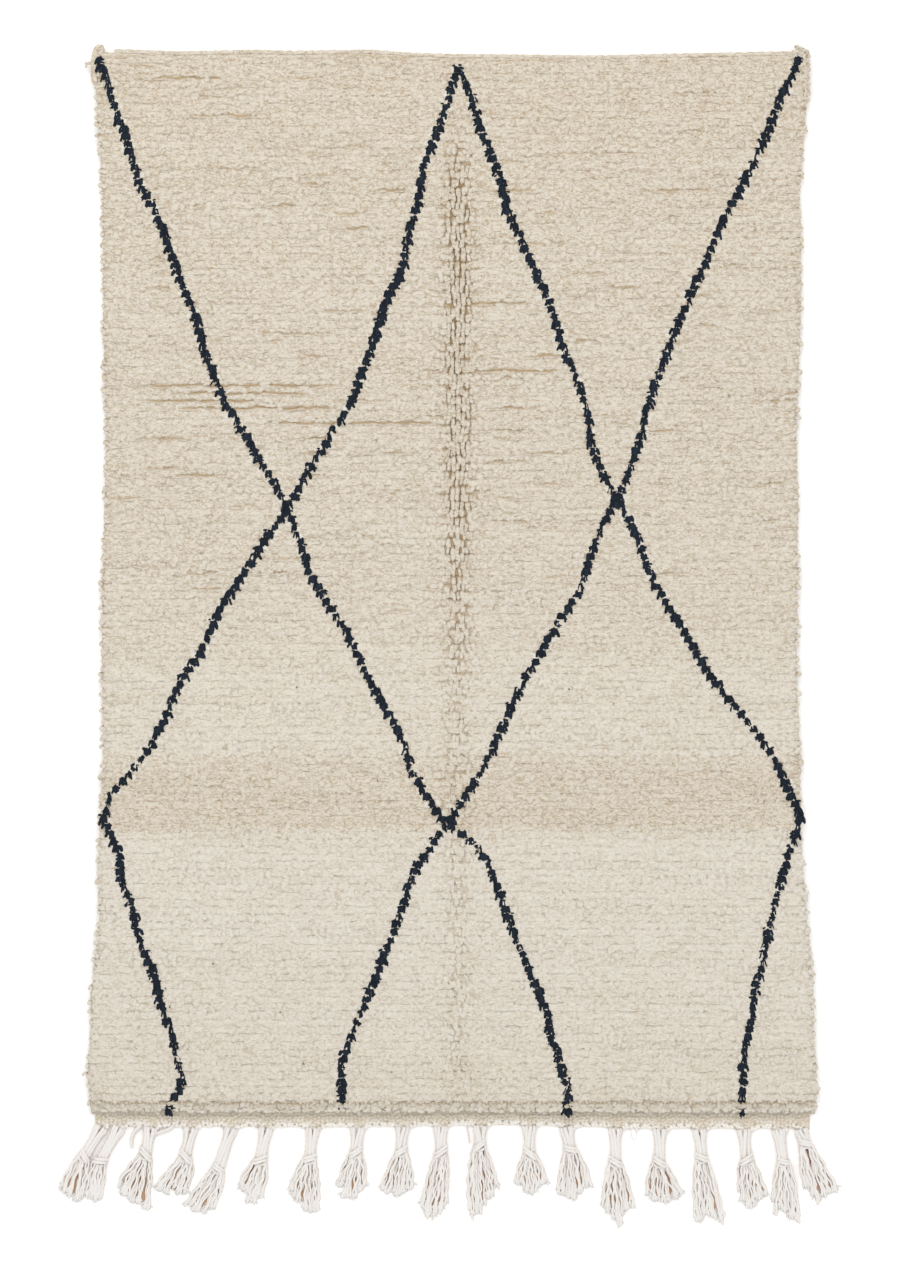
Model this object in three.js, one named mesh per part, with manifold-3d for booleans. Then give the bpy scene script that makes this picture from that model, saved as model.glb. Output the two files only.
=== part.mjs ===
// A hand-knotted Beni Ourain rug lying flat with its pile up: the one-piece knotted cloth, the flat-woven
// band and nineteen knotted tassels at one end, and the bound cord and two corner cords at the other.
// Millimetres. X runs across the rug, +Y away from the tassels and +Z up. The origin is on the flat
// underside of the cloth, near its middle.
import * as THREE from "three";
import { mergeVertices } from "three/addons/utils/BufferGeometryUtils.js";
import Module from "manifold-3d";

const wasm = await Module();
wasm.setup();

// Driving dimensions of the knotted cloth
const pileTop = 20;
const rowPitch = 12; // one row of knots and its weft shots
const coursePitch = 1.5 * rowPitch; // the slab's lumps are this long up the rug
const tasselEndY = -667; // where the pile stops above the end band
const rimInset = 3; // the slab's rim lies this far inside the line that the longest locks reach
const scallop = { least: 0.9, most: 3 }; // between two lumps the rim draws in by this much
const creaseX = 11; // the parting down the middle of the pile
const creaseHalfWidth = 30;
const columns = 20; // of faces across the slab
const columnCrowding = 1.35; // above 1, this sets them closer together at the parting
const gap = 0.4; // between neighbouring pieces
const weldDistance = 1e-4;

// The line that the pile's locks reach at each side, section by section up the rug
const sideSections = [
  { y: -667, left: -505, right: 514 },
  { y: -609, left: -509, right: 515 },
  { y: -553, left: -505, right: 511 },
  { y: -497, left: -504, right: 510 },
  { y: -441, left: -497, right: 507 },
  { y: -385, left: -492, right: 500 },
  { y: -329, left: -496, right: 496 },
  { y: -273, left: -491, right: 493 },
  { y: -161, left: -487, right: 491 },
  { y: -49, left: -489, right: 487 },
  { y: 63, left: -488, right: 487 },
  { y: 175, left: -485, right: 489 },
  { y: 287, left: -483, right: 486 },
  { y: 399, left: -486, right: 491 },
  { y: 511, left: -487, right: 493 },
  { y: 623, left: -488, right: 491 },
  { y: 735, left: -495, right: 500 },
  { y: 820, left: -501, right: 500 },
];

// The outer line of the bound end, which is not quite straight
const plainEndSections = [
  { x: -498, y: 821 },
  { x: -445, y: 819 },
  { x: -378, y: 816.5 },
  { x: -277, y: 819 },
  { x: -227, y: 817.5 },
  { x: -110, y: 819 },
  { x: -60, y: 815 },
  { x: 0, y: 813 },
  { x: 210, y: 811 },
  { x: 294, y: 813 },
  { x: 395, y: 815 },
  { x: 462, y: 816.5 },
  { x: 500, y: 817 },
];

// How deep the parting down the middle is, section by section
const creaseSections = [
  { y: -667, depth: 3 },
  { y: -300, depth: 3.5 },
  { y: 0, depth: 3 },
  { y: 300, depth: 5 },
  { y: 650, depth: 5 },
  { y: 730, depth: 1 },
  { y: 820, depth: 0 },
];

// Rows where the pile has opened, so that the ground between two rows lies deeper
const rowGaps = [
  { y: 335, from: -420, to: -140, depth: 2.5 },
  { y: 310, from: -145, to: -30, depth: 2.5 },
  { y: 385, from: 15, to: 140, depth: 2 },
  { y: -160, from: -60, to: 490, depth: 1.5 },
  { y: -268, from: 20, to: 350, depth: 2.5 },
];

// Soft lumps of the pile: waves by their length across and up the rug
const lumps = [
  { across: 210, along: 61, shift: 0.1, height: 0.7 },
  { across: -137, along: 43, shift: 0.6, height: 0.6 },
  { across: 89, along: 171, shift: 0.35, height: 0.5 },
];

const unevenness = 2.2; // how far one tuft group stands over the next

// Rings of the slab's rim from the floor up: how far each is drawn in, and how far at the bound end
const rimRings = [
  { z: -2, inset: 3, boundInset: 0 }, // cut off level at the floor
  { z: 4.6, inset: 3, boundInset: 0 },
  { z: 11, inset: 0, boundInset: 0.5 },
  { z: 15.5, inset: 5, boundInset: 4 },
];
const rimDrop = pileTop - rimRings.at(-1).z;

// Locks of wool that stand out past the rim
const lockPitch = 34;
const lockStopY = 735; // the corner cords lie above this
const lock = { root: 9, leastReach: 2.2, mostReach: 5.4, sweep: 4.5, rootLift: 2 };
const lockRoot = { width: 17, height: 8 };
const lockTip = { width: 6, height: 3.5 };
const lockLift = { side: 2.5, end: 5 }; // the end's locks lie over the band

// The end band and the warp ends below it
const band = { left: -502, right: 504, pileSide: 4.2, tasselSide: 3.4, ridge: 0.38 };
const bandEdgeSections = [
  { x: -502, y: -688 },
  { x: -420, y: -690 },
  { x: -300, y: -690 },
  { x: -190, y: -691 },
  { x: -70, y: -689.5 },
  { x: 0, y: -688 },
  { x: 110, y: -688 },
  { x: 180, y: -690 },
  { x: 260, y: -692 },
  { x: 420, y: -693 },
  { x: 504, y: -692 },
];
const gather = { reach: 3.5, halfWidth: 12, spread: 7, rise: 2.4 }; // where a tassel draws the band out

// Each tassel: where it leaves the band, the middle of its knot, and the ends of its outer and longest cords
const tassels = [
  { root: -491, knot: [-513, -732], left: [-550, -776], mid: [-526, -797], right: [-518, -784] },
  { root: -466, knot: [-491, -738], left: [-510, -785], mid: [-497, -795], right: [-490, -785] },
  { root: -420, knot: [-427, -729], left: [-466, -773], mid: [-447, -797], right: [-423, -811] },
  { root: -364, knot: [-371, -732], left: [-413, -776], mid: [-389, -787], right: [-367, -776] },
  { root: -308, knot: [-325, -749], left: [-372, -801], mid: [-357, -811], right: [-333, -809] },
  { root: -259, knot: [-266, -737], left: [-297, -773], mid: [-281, -797], right: [-266, -791] },
  { root: -193, knot: [-197, -735], left: [-228, -780], mid: [-204, -811], right: [-184, -808] },
  { root: -130, knot: [-132, -726], left: [-158, -770], mid: [-144, -790], right: [-118, -776] },
  { root: -67, knot: [-69, -725], left: [-95, -774], mid: [-75, -791], right: [-53, -773] },
  { root: -13, knot: [-13, -726], left: [-42, -805], mid: [-24, -819], right: [-4, -802] },
  { root: 42, knot: [41, -717], left: [27, -805], mid: [44, -816], right: [70, -777] },
  { root: 111, knot: [112, -728], left: [92, -766], mid: [111, -785], right: [136, -766] },
  { root: 164, knot: [169, -722], left: [150, -785], mid: [174, -790], right: [197, -773] },
  { root: 232, knot: [232, -740], left: [213, -802], mid: [238, -827], right: [260, -806] },
  { root: 294, knot: [293, -740], left: [276, -784], mid: [302, -799], right: [325, -784] },
  { root: 350, knot: [353, -734], left: [345, -816], mid: [364, -822], right: [386, -818] },
  { root: 412, knot: [416, -737], left: [404, -787], mid: [427, -802], right: [444, -785] },
  { root: 461, knot: [467, -739], left: [451, -806], mid: [471, -813], right: [491, -827] },
  { root: 494, knot: [498, -713], left: [497, -777], mid: [516, -796], right: [545, -784] },
];
const cordsPerTassel = 7;
const neckStraight = 8; // a tassel leaves the band square to its edge
// The loose cords: how far past the knot they part, their start inside it, their width there and swelling
const skirt = { flare: 13, buried: 4, spread: 14, bulge: 10 };
const shortestCord = 0.93; // as a share of the longest one
const cordFill = 0.92; // how much of the room between two cords' middles each fills

// A tassel's neck, knot and gathered cords, from the band down, and one loose cord from there down
const headRings = [
  { t: 0, width: 19, height: 4.4 },
  { t: 0.12, width: 15, height: 8 },
  { t: 0.52, width: 14, height: 9 },
  { t: 0.68, width: 18, height: 13 },
  { t: 0.82, width: 14.5, height: 9 },
  { t: 1, width: 18, height: 6.4 },
];
const cordHeights = [
  { t: 0, height: 4.5, lift: 0.8 }, // inside the gathered cords
  { t: 0.45, height: 5.4, lift: 0 },
  { t: 1, height: 3, lift: 0 },
];

// Loose yarn ends on the band, by the points that each runs through
const strayYarns = [
  { width: 6, height: 4, points: [[-431, -684], [-438, -696], [-447, -707], [-445, -719]] },
  { width: 5, height: 3.4, points: [[-386, -684], [-393, -692], [-399, -696], [-406, -698]] },
  { width: 2.4, height: 2.4, points: [[23, -682], [24, -690], [26, -701], [28, -713]] },
];

// The bound end, its stitches, and the two corner cords
const bindingWidth = 5;
const binding = { from: -464, to: 477 };
const stitches = [{ x: -162 }, { x: -128 }, { x: -88 }];
const stitch = { radius: 3.4, out: 1.1 };
const leftCord = {
  width: 6.6,
  steps: 16,
  points: [[-464.6, 818.5], [-480, 820], [-491, 821], [-498.5, 815], [-500, 802], [-499, 786], [-497, 766]],
};
const leftTail = { width: 3.4, steps: 3, points: [[-500, 796], [-507, 798], [-515, 796]] };
const rightChain = {
  waist: 5.6,
  knob: 8,
  knobs: 10,
  points: [[477.7, 816.6], [489, 817.4], [500.2, 811.5], [501.5, 790], [501.5, 768], [501, 748]],
};

// Reads one column of a table of sections at a place between two of its rows
function sectionValue(table, key, at, column) {
  const next = table.findIndex((row) => row[key] > at);
  if (next === 0) return table[0][column];
  if (next < 0) return table.at(-1)[column];
  const [a, b] = [table[next - 1], table[next]];
  return THREE.MathUtils.mapLinear(at, a[key], b[key], a[column], b[column]);
}

// A repeatable number from 0 to 1 for the n-th of a run of like pieces
function variation(n) {
  return THREE.MathUtils.seededRandom(n);
}

// The closed solid of a geometry, for joining to others
function solidOf(geometry) {
  const bare = new THREE.BufferGeometry()
    .setAttribute("position", geometry.attributes.position)
    .setIndex(geometry.index);
  const merged = mergeVertices(bare, weldDistance);
  return new wasm.Manifold(
    new wasm.Mesh({
      numProp: 3,
      vertProperties: merged.attributes.position.array,
      triVerts: new Uint32Array(merged.index.array),
    }),
  );
}

function geometryOf(solid) {
  const mesh = solid.getMesh();
  return new THREE.BufferGeometry()
    .setAttribute("position", new THREE.BufferAttribute(mesh.vertProperties, 3))
    .setIndex(new THREE.BufferAttribute(mesh.triVerts, 1));
}

// One geometry that joins all of the given ones
function fused(geometries) {
  return geometryOf(wasm.Manifold.union(geometries.map(solidOf)));
}

// What is left of a geometry above the floor, with one flat face there
function cutLevel(geometry) {
  geometry.computeBoundingBox();
  const size = geometry.boundingBox.getSize(new THREE.Vector3()).multiplyScalar(2);
  const floor = new THREE.BoxGeometry(...size).translate(0, 0, -size.z / 2);
  return geometryOf(solidOf(geometry).subtract(solidOf(floor)));
}

// Moves every vertex of a geometry to where place(x, y, z) puts it
function reshape(geometry, place) {
  const position = geometry.attributes.position;
  for (let i = 0; i < position.count; i++) {
    position.setXYZ(i, ...place(position.getX(i), position.getY(i), position.getZ(i)));
  }
  return geometry;
}

// A prism with a flat side down that lies along a level curve, as wide and high as its rings say
function layAlong(curve, sides, rings) {
  const turn = sides % 2 ? 0 : Math.PI / sides;
  const prism = new THREE.CylinderGeometry(1, 1, rings.length - 1, sides, rings.length - 1, false, turn);
  prism.computeBoundingBox();
  const { min, max } = prism.boundingBox;
  return reshape(prism, (x, y, z) => {
    const ring = rings[Math.round(y - min.y)];
    const middle = curve.getPoint(ring.t);
    const ahead = curve.getTangent(ring.t);
    const across = (x / max.x) * (ring.width / 2);
    const height = (ring.lift ?? 0) + ((z - min.z) / (max.z - min.z)) * ring.height;
    return [middle.x + ahead.y * across, middle.y - ahead.x * across, height];
  });
}

function flatCurve(points) {
  return new THREE.CatmullRomCurve3(points.map(([x, y]) => new THREE.Vector3(x, y, 0)));
}

// The same width and height all along, in a number of equal steps
function evenRings(steps, width, height) {
  return Array.from({ length: steps + 1 }, (_, k) => ({ t: k / steps, width, height }));
}

// Where a column of the slab stands: closest together at the parting, from rim to rim
function columnX(share, left, right) {
  const fromCrease = 2 * share - 1;
  const spread = Math.sign(fromCrease) * Math.abs(fromCrease) ** columnCrowding;
  return creaseX + spread * (spread < 0 ? creaseX - left : right - creaseX);
}

// How much the pile's top rises over its even height at a place
function pileRelief(x, y) {
  const lump = lumps.reduce(
    (sum, { across, along, shift, height }) =>
      sum + height * Math.sin(2 * Math.PI * (x / across + y / along + shift)),
    0,
  );
  const crease = sectionValue(creaseSections, "y", y, "depth");
  const fromCrease = Math.abs(x - creaseX) / creaseHalfWidth;
  const opened = rowGaps
    .filter((row) => Math.abs(y - row.y) < coursePitch / 2 && x > row.from && x < row.to)
    .reduce((sum, row) => sum + row.depth, 0);
  return lump - crease * Math.max(0, 1 - fromCrease) - opened;
}

// The knotted cloth's slab: a box with one row of faces for each lumpy course
function pileSlab() {
  const boundY = plainEndSections[0].y - bindingWidth;
  const rows = Math.round((boundY - tasselEndY) / coursePitch);
  const slab = new THREE.BoxGeometry(columns, rows, rimRings.length - 1, columns, rows, rimRings.length - 1);
  return reshape(slab, (i, j, k) => {
    const column = i + columns / 2;
    const row = j + rows / 2;
    const ring = rimRings[Math.round(k + (rimRings.length - 1) / 2)];
    const nominalY = tasselEndY + row * coursePitch;
    const dip = (side) => THREE.MathUtils.lerp(scallop.least, scallop.most, variation(row + side));
    const drawnIn = (side) => (row % 2 ? dip(side) : 0);
    const left = sectionValue(sideSections, "y", nominalY, "left") + rimInset + ring.inset + drawnIn(0);
    const right = sectionValue(sideSections, "y", nominalY, "right") - rimInset - ring.inset - drawnIn(rows);
    const x = columnX(column / columns, left, right);
    const tasselY = tasselEndY + ring.inset;
    const plainY = sectionValue(plainEndSections, "x", x, "y") - bindingWidth - 2 * gap - ring.boundInset;
    const y = THREE.MathUtils.lerp(tasselY, plainY, row / rows);
    if (ring !== rimRings.at(-1)) return [x, y, ring.z];
    const atRim = column === 0 || column === columns || row === 0 || row === rows;
    const uneven = unevenness * (variation(row * (columns + 1) + column) - 0.5);
    return [x, y, pileTop - (atRim ? rimDrop : 0) + pileRelief(x, y) + uneven];
  });
}

// One lock of wool from inside the slab's rim to a little past it
function rimLock(x, y, outX, outY, lift, n) {
  const reach = THREE.MathUtils.lerp(lock.leastReach, lock.mostReach, variation(2 * n));
  const sweep = lock.sweep * (variation(2 * n + 1) - 0.5);
  const tip = [x + outX * reach + outY * sweep, y + outY * reach + outX * sweep];
  const root = [x - outX * lock.root, y - outY * lock.root];
  return layAlong(flatCurve([root, tip]), 3, [
    { t: 0, ...lockRoot, lift: lift + lock.rootLift },
    { t: 1, ...lockTip, lift },
  ]);
}

function rimLocks() {
  const locks = [];
  for (let y = tasselEndY + lockPitch; y < lockStopY; y += lockPitch) {
    const left = sectionValue(sideSections, "y", y, "left") + rimInset;
    const right = sectionValue(sideSections, "y", y, "right") - rimInset;
    locks.push(rimLock(left, y, -1, 0, lockLift.side, locks.length));
    locks.push(rimLock(right, y, 1, 0, lockLift.side, locks.length));
  }
  for (let x = band.left + lockPitch / 2; x < band.right; x += lockPitch) {
    locks.push(rimLock(x, tasselEndY, 0, -1, lockLift.end, locks.length));
  }
  return locks;
}

// The line of the band's edge at the tassels, drawn out where each tassel is gathered
function gathered(x) {
  const pull = ({ root }) => Math.exp(-(((x - root) / gather.spread) ** 2));
  return Math.max(...tassels.map(pull));
}

function bandEdgeY(x) {
  return sectionValue(bandEdgeSections, "x", x, "y") - gather.reach * gathered(x);
}

// The flat-woven band: columns of points at each tassel's root and to both sides of it
function endBand() {
  const shares = [-1, 0, 1];
  const roots = tassels.flatMap(({ root }) => shares.map((share) => root + share * gather.halfWidth));
  const xs = [band.left, ...roots.filter((x) => x > band.left && x < band.right), band.right];
  const pileSideY = tasselEndY + rimRings[0].inset - gap;
  const strip = new THREE.BoxGeometry(xs.length - 1, 2, 1, xs.length - 1, 2, 1);
  const woven = reshape(strip, (i, j, k) => {
    const x = xs[Math.round(i + (xs.length - 1) / 2)];
    const share = [0, band.ridge, 1][Math.round(j + 1)]; // 0 at the tassels, 1 under the pile
    const y = THREE.MathUtils.lerp(bandEdgeY(x), pileSideY, share);
    const rise = gather.rise * gathered(x) * (1 - share);
    const top = THREE.MathUtils.lerp(band.tasselSide, band.pileSide, share) + rise;
    return [x, y, k < 0 ? 0 : top];
  });
  const yarns = strayYarns.map(({ width, height, points }) =>
    layAlong(flatCurve(points), 3, evenRings(points.length, width, height)),
  );
  return fused([woven, ...yarns]);
}

// One tassel lying on the floor: its neck and knot with the loose cords fused to the knot
function tassel(row, index) {
  const root = new THREE.Vector3(row.root, bandEdgeY(row.root) - gap, 0);
  const knot = new THREE.Vector3(...row.knot, 0);
  const ahead = knot.clone().sub(root).normalize();
  const across = new THREE.Vector3(-ahead.y, ahead.x, 0);
  const straightOut = root.clone().add(new THREE.Vector3(0, -neckStraight, 0));
  const fan = knot.clone().addScaledVector(ahead, skirt.flare);
  const head = new THREE.CubicBezierCurve3(root, straightOut, knot, fan);
  const left = new THREE.Vector3(...row.left, 0);
  const right = new THREE.Vector3(...row.right, 0);
  const longest = new THREE.Vector3(...row.mid, 0);
  const control = longest.multiplyScalar(2).sub(left.clone().lerp(right, 0.5));
  const tips = new THREE.QuadraticBezierCurve3(left, control, right);
  const rings = cordHeights.map(({ t, height, lift }) => {
    const swelling = 2 * t * (1 - t) * skirt.bulge;
    const spread = THREE.MathUtils.lerp(skirt.spread, left.distanceTo(right), t) + swelling;
    return { t, height, lift, width: (cordFill * spread) / (cordsPerTassel - 1) };
  });
  const cords = Array.from({ length: cordsPerTassel }, (_, n) => {
    const share = n / (cordsPerTassel - 1);
    const side = share - 0.5;
    const start = fan
      .clone()
      .addScaledVector(ahead, -skirt.buried)
      .addScaledVector(across, side * skirt.spread);
    const length = THREE.MathUtils.lerp(shortestCord, 1, variation(index * cordsPerTassel + n));
    const end = start.clone().lerp(tips.getPoint(share), length);
    const swing = start.clone().lerp(end, 0.5).addScaledVector(across, side * skirt.bulge);
    return layAlong(new THREE.QuadraticBezierCurve3(start, swing, end), 3, rings);
  });
  return fused([layAlong(head, 6, headRings), ...cords]);
}

// The cord that binds the plain end, bent where the slab's columns stand, with its stitches
function topBinding() {
  const along = (x) => [x, sectionValue(plainEndSections, "x", x, "y") - bindingWidth / 2];
  const { left, right } = sideSections.at(-1);
  const bends = Array.from({ length: columns }, (_, i) =>
    columnX(i / columns, left + rimInset, right - rimInset),
  ).filter((x) => x > binding.from && x < binding.to);
  const points = [binding.from, ...bends, binding.to].map(along);
  const cord = layAlong(flatCurve(points), 6, evenRings(points.length - 1, bindingWidth, bindingWidth));
  const beads = stitches.map(({ x }) => {
    const [beadX, beadY] = along(x);
    return new THREE.SphereGeometry(stitch.radius, 6, 4)
      .rotateX(Math.PI / 2)
      .translate(beadX, beadY + stitch.out, stitch.radius);
  });
  return fused([cord, ...beads]);
}

function leftCornerCord() {
  const cord = ({ width, steps, points }, sides) =>
    layAlong(flatCurve(points), sides, evenRings(steps, width, width));
  return fused([cord(leftCord, 6), cord(leftTail, 3)]);
}

function rightCornerChain() {
  const { waist, knob, knobs, points } = rightChain;
  const rings = evenRings(2 * knobs, waist, waist).map((ring, k) =>
    k % 2 ? { ...ring, width: knob, height: knob } : ring,
  );
  return fused([layAlong(flatCurve(points), 6, rings)]);
}

const wool = new THREE.MeshStandardMaterial({ color: 0xdbd2c0, roughness: 1, metalness: 0 });
const cotton = new THREE.MeshStandardMaterial({ color: 0xeeebe4, roughness: 0.95, metalness: 0 });
const groundWeave = new THREE.MeshStandardMaterial({ color: 0xd6cdbc, roughness: 1, metalness: 0 });

const rug = new THREE.Group();

function addPiece(name, geometry, material) {
  const piece = new THREE.Mesh(geometry, material);
  piece.name = name;
  rug.add(piece);
}

addPiece("pile_field", cutLevel(fused([pileSlab(), ...rimLocks()])), wool);
addPiece("end_band", endBand(), groundWeave);
tassels.forEach((row, index) => {
  const number = String(index + 1).padStart(2, "0");
  addPiece(`tassel_${number}`, tassel(row, index), cotton);
});
addPiece("top_binding", topBinding(), groundWeave);
addPiece("corner_cord_left", leftCornerCord(), wool);
addPiece("corner_cord_right", rightCornerChain(), wool);

export default rug;
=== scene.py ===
import math

import bmesh
import bpy
import numpy as np
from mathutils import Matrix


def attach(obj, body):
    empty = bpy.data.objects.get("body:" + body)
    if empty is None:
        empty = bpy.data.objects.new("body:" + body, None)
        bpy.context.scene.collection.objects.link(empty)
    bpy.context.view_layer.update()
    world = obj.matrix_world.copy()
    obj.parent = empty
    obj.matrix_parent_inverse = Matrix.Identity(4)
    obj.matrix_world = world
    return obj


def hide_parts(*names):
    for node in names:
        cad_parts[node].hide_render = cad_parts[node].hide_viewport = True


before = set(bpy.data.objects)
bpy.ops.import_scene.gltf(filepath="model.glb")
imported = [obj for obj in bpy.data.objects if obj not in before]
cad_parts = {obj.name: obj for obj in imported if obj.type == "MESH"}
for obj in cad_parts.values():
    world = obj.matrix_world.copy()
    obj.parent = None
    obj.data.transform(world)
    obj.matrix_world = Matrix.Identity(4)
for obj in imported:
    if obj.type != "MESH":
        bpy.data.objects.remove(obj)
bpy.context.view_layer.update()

# ---------------------------------------------------------------- view, floor and light
# The rug lies on a white studio floor, seen from straight above. The light comes from a broad softbox
# overhead, a little towards the bound end, and from the pale room all round.
view_height = 1.778  # what the picture takes in, from its lower edge to its upper one
camera_height = 8.0
pile_level = 0.012

scene = bpy.context.scene
scene.view_settings.view_transform = "Standard"

camera = bpy.data.cameras.new("camera")
camera.lens = camera.sensor_width * (camera_height - pile_level) / view_height
camera.clip_end = 40.0
camera_object = bpy.data.objects.new("camera", camera)
camera_object.location = (0.0, 0.0, camera_height)
scene.collection.objects.link(camera_object)
scene.camera = camera_object

room = bpy.data.worlds.new("pale_room")
room.use_nodes = True
room.node_tree.nodes["Background"].inputs["Color"].default_value = (1.0, 0.99, 0.975, 1.0)
room.node_tree.nodes["Background"].inputs["Strength"].default_value = 1.20
scene.world = room

softbox = bpy.data.lights.new("softbox", "AREA")
softbox.shape = "RECTANGLE"
softbox.size, softbox.size_y = 3.0, 1.6
softbox.energy = 36.0
softbox.color = (1.0, 0.985, 0.96)
softbox_place = (-0.5, 2.2, 3.0)
softbox_object = bpy.data.objects.new("softbox", softbox)
softbox_object.location = softbox_place
softbox_object.rotation_euler = (-math.atan2(softbox_place[1], softbox_place[2]), 0.0, 0.0)
scene.collection.objects.link(softbox_object)


def made_mesh(name, form):
    """The mesh of a finished form."""
    mesh = bpy.data.meshes.new(name)
    form.to_mesh(mesh)
    form.free()
    return mesh


floor_form = bmesh.new()
bmesh.ops.create_grid(floor_form, x_segments=1, y_segments=1, size=12.0)
floor = bpy.data.objects.new("floor", made_mesh("floor", floor_form))
scene.collection.objects.link(floor)

floor_paint = bpy.data.materials.new("white_floor")
floor_paint.use_nodes = True
floor_shader = floor_paint.node_tree.nodes["Principled BSDF"]
floor_shader.inputs["Base Color"].default_value = (0.97, 0.97, 0.97, 1.0)
floor_shader.inputs["Roughness"].default_value = 0.9
floor.data.materials.append(floor_paint)

# ---------------------------------------------------------------- ground cloth
# The one-piece woven ground of warp and weft that every knot is tied into. It lies flat, drawn in a
# little at the middle of the rug, and shows only from below and deep between the locks of the pile.
sides = np.array([  # up the rug: y, the left edge and the right edge
    (-0.667, -0.505, 0.514),
    (-0.609, -0.509, 0.515),
    (-0.553, -0.505, 0.511),
    (-0.497, -0.504, 0.510),
    (-0.441, -0.497, 0.507),
    (-0.385, -0.492, 0.500),
    (-0.329, -0.496, 0.496),
    (-0.273, -0.491, 0.493),
    (-0.161, -0.487, 0.491),
    (-0.049, -0.489, 0.487),
    (0.063, -0.488, 0.487),
    (0.175, -0.485, 0.489),
    (0.287, -0.483, 0.486),
    (0.399, -0.486, 0.491),
    (0.511, -0.487, 0.493),
    (0.623, -0.488, 0.491),
    (0.735, -0.495, 0.500),
    (0.820, -0.501, 0.500),
])
bound_end = np.array([  # across the rug: x, the outer line of the bound end
    (-0.498, 0.821),
    (-0.445, 0.819),
    (-0.378, 0.8165),
    (-0.277, 0.819),
    (-0.227, 0.8175),
    (-0.110, 0.819),
    (-0.060, 0.815),
    (0.000, 0.813),
    (0.210, 0.811),
    (0.294, 0.813),
    (0.395, 0.815),
    (0.462, 0.8165),
    (0.500, 0.817),
])
tassel_end = -0.667
cloth_end = 0.812
selvedge = 0.007  # the ground stops this far inside the pile's outline
binding_width = 0.005
ground_top = 0.0042
floor_gap = 0.0003  # how far the weave stands clear of the floor


def left_edge(y):
    return np.interp(y, sides[:, 0], sides[:, 1])


def right_edge(y):
    return np.interp(y, sides[:, 0], sides[:, 2])


def bound_line(x):
    return np.interp(x, bound_end[:, 0], bound_end[:, 1])


def show(name, mesh, material, slot, *nodes):
    """Puts a finished mesh into the scene as a piece that rides on the rug and stands for CAD nodes."""
    piece = bpy.data.objects.new(name, mesh)
    scene.collection.objects.link(piece)
    mesh.materials.append(material)
    mesh.shade_smooth()
    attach(piece, "root")
    if nodes:
        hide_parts(*nodes)
    return piece


def fabric_finish(name, sheen):
    """A rough fabric material, its node tree and its shader, ready for a pattern."""
    material = bpy.data.materials.new(name)
    material.use_nodes = True
    shader = material.node_tree.nodes["Principled BSDF"]
    shader.inputs["Roughness"].default_value = 0.95
    shader.inputs["Specular IOR Level"].default_value = 0.2
    shader.inputs["Sheen Weight"].default_value = sheen
    shader.inputs["Sheen Roughness"].default_value = 0.6
    return material, material.node_tree, shader


def feed(tree, node, sockets):
    """Gives sockets of a node their values, or joins them to another node's output."""
    for socket, value in sockets.items():
        if isinstance(value, bpy.types.NodeSocket):
            tree.links.new(value, node.inputs[socket])
        else:
            node.inputs[socket].default_value = value


def add_node(tree, kind, output, sockets=None, **settings):
    """Adds a node with its own settings and what feeds its sockets, and gives back the output asked for."""
    node = tree.nodes.new("ShaderNode" + kind)
    for setting, value in settings.items():
        setattr(node, setting, value)
    feed(tree, node, sockets or {})
    return node.outputs[output]


def colour_ramp(tree, factor, low, high, low_at=0.0, high_at=1.0):
    """The colour of a ramp from a low colour to a high one."""
    colour = add_node(tree, "ValToRGB", "Color", {"Fac": factor})
    elements = colour.node.color_ramp.elements
    elements[0].position, elements[0].color = low_at, (*low, 1.0)
    elements[1].position, elements[1].color = high_at, (*high, 1.0)
    return colour


def woven_ground():
    """The ground's material: ribs of weft across the rug, with the warps' bumps along each."""
    material, tree, shader = fabric_finish("woven_ground", 0.0)
    place = add_node(tree, "TexCoord", "Object")
    rib_lay = {"Vector": place, "Scale": 90.0, "Distortion": 1.5}
    ribs = add_node(tree, "TexWave", "Fac", rib_lay, bands_direction="Y")
    # the colour darkens into the grooves between the ribs, as the bump does: painted shade
    colour = colour_ramp(tree, ribs, (0.36, 0.28, 0.17), (0.60, 0.50, 0.36))
    bump = add_node(tree, "Bump", "Normal", {"Height": ribs, "Distance": 0.0008})
    feed(tree, shader, {"Base Color": colour, "Normal": bump})
    return material


def flat_weave(name, form, thickness):
    """The mesh of a flat weave: its form is given its thickness and laid just clear of the floor."""
    bmesh.ops.recalc_face_normals(form, faces=form.faces)
    bmesh.ops.solidify(form, geom=form.faces[:], thickness=thickness)
    lift = floor_gap - min(vertex.co.z for vertex in form.verts)
    bmesh.ops.translate(form, verts=form.verts, vec=(0.0, 0.0, lift))
    bmesh.ops.recalc_face_normals(form, faces=form.faces)
    return made_mesh(name, form)


cloth_form = bmesh.new()
bmesh.ops.create_grid(cloth_form, x_segments=30, y_segments=45, size=0.5)
for vertex in cloth_form.verts:
    across, along = vertex.co.x + 0.5, vertex.co.y + 0.5
    y_nominal = tassel_end + along * (cloth_end - tassel_end)
    left, right = left_edge(y_nominal) + selvedge, right_edge(y_nominal) - selvedge
    x = left + across * (right - left)
    top_line = bound_line(x) - binding_width - 0.001
    vertex.co = (x, tassel_end + along * (top_line - tassel_end), floor_gap)
cloth_mesh = flat_weave("ground_cloth", cloth_form, ground_top - floor_gap)
ground_cloth = show("ground_cloth", cloth_mesh, woven_ground(), "wool_pile", "pile_field")

# ---------------------------------------------------------------- pile
# Rows of hand-tied knots of thick, loosely spun wool. Each knot's cut ends stand packed together in the
# ground and lie over towards the tassel end, so that a row covers the foot of the next one.
row_pitch = 0.0105
first_row = tassel_end + 0.008
knots_end = 0.826
rows = int((knots_end - first_row) / row_pitch) + 1
rim_inset = 0.0035
half_table = 0.56  # tables of what changes along a row run this far to each side of the rug's middle
packed = 0.0156  # up to here the locks stand so close that they make one body
crease_x = 0.011
crease_width = 0.022
chance = np.random.default_rng(19)


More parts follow.
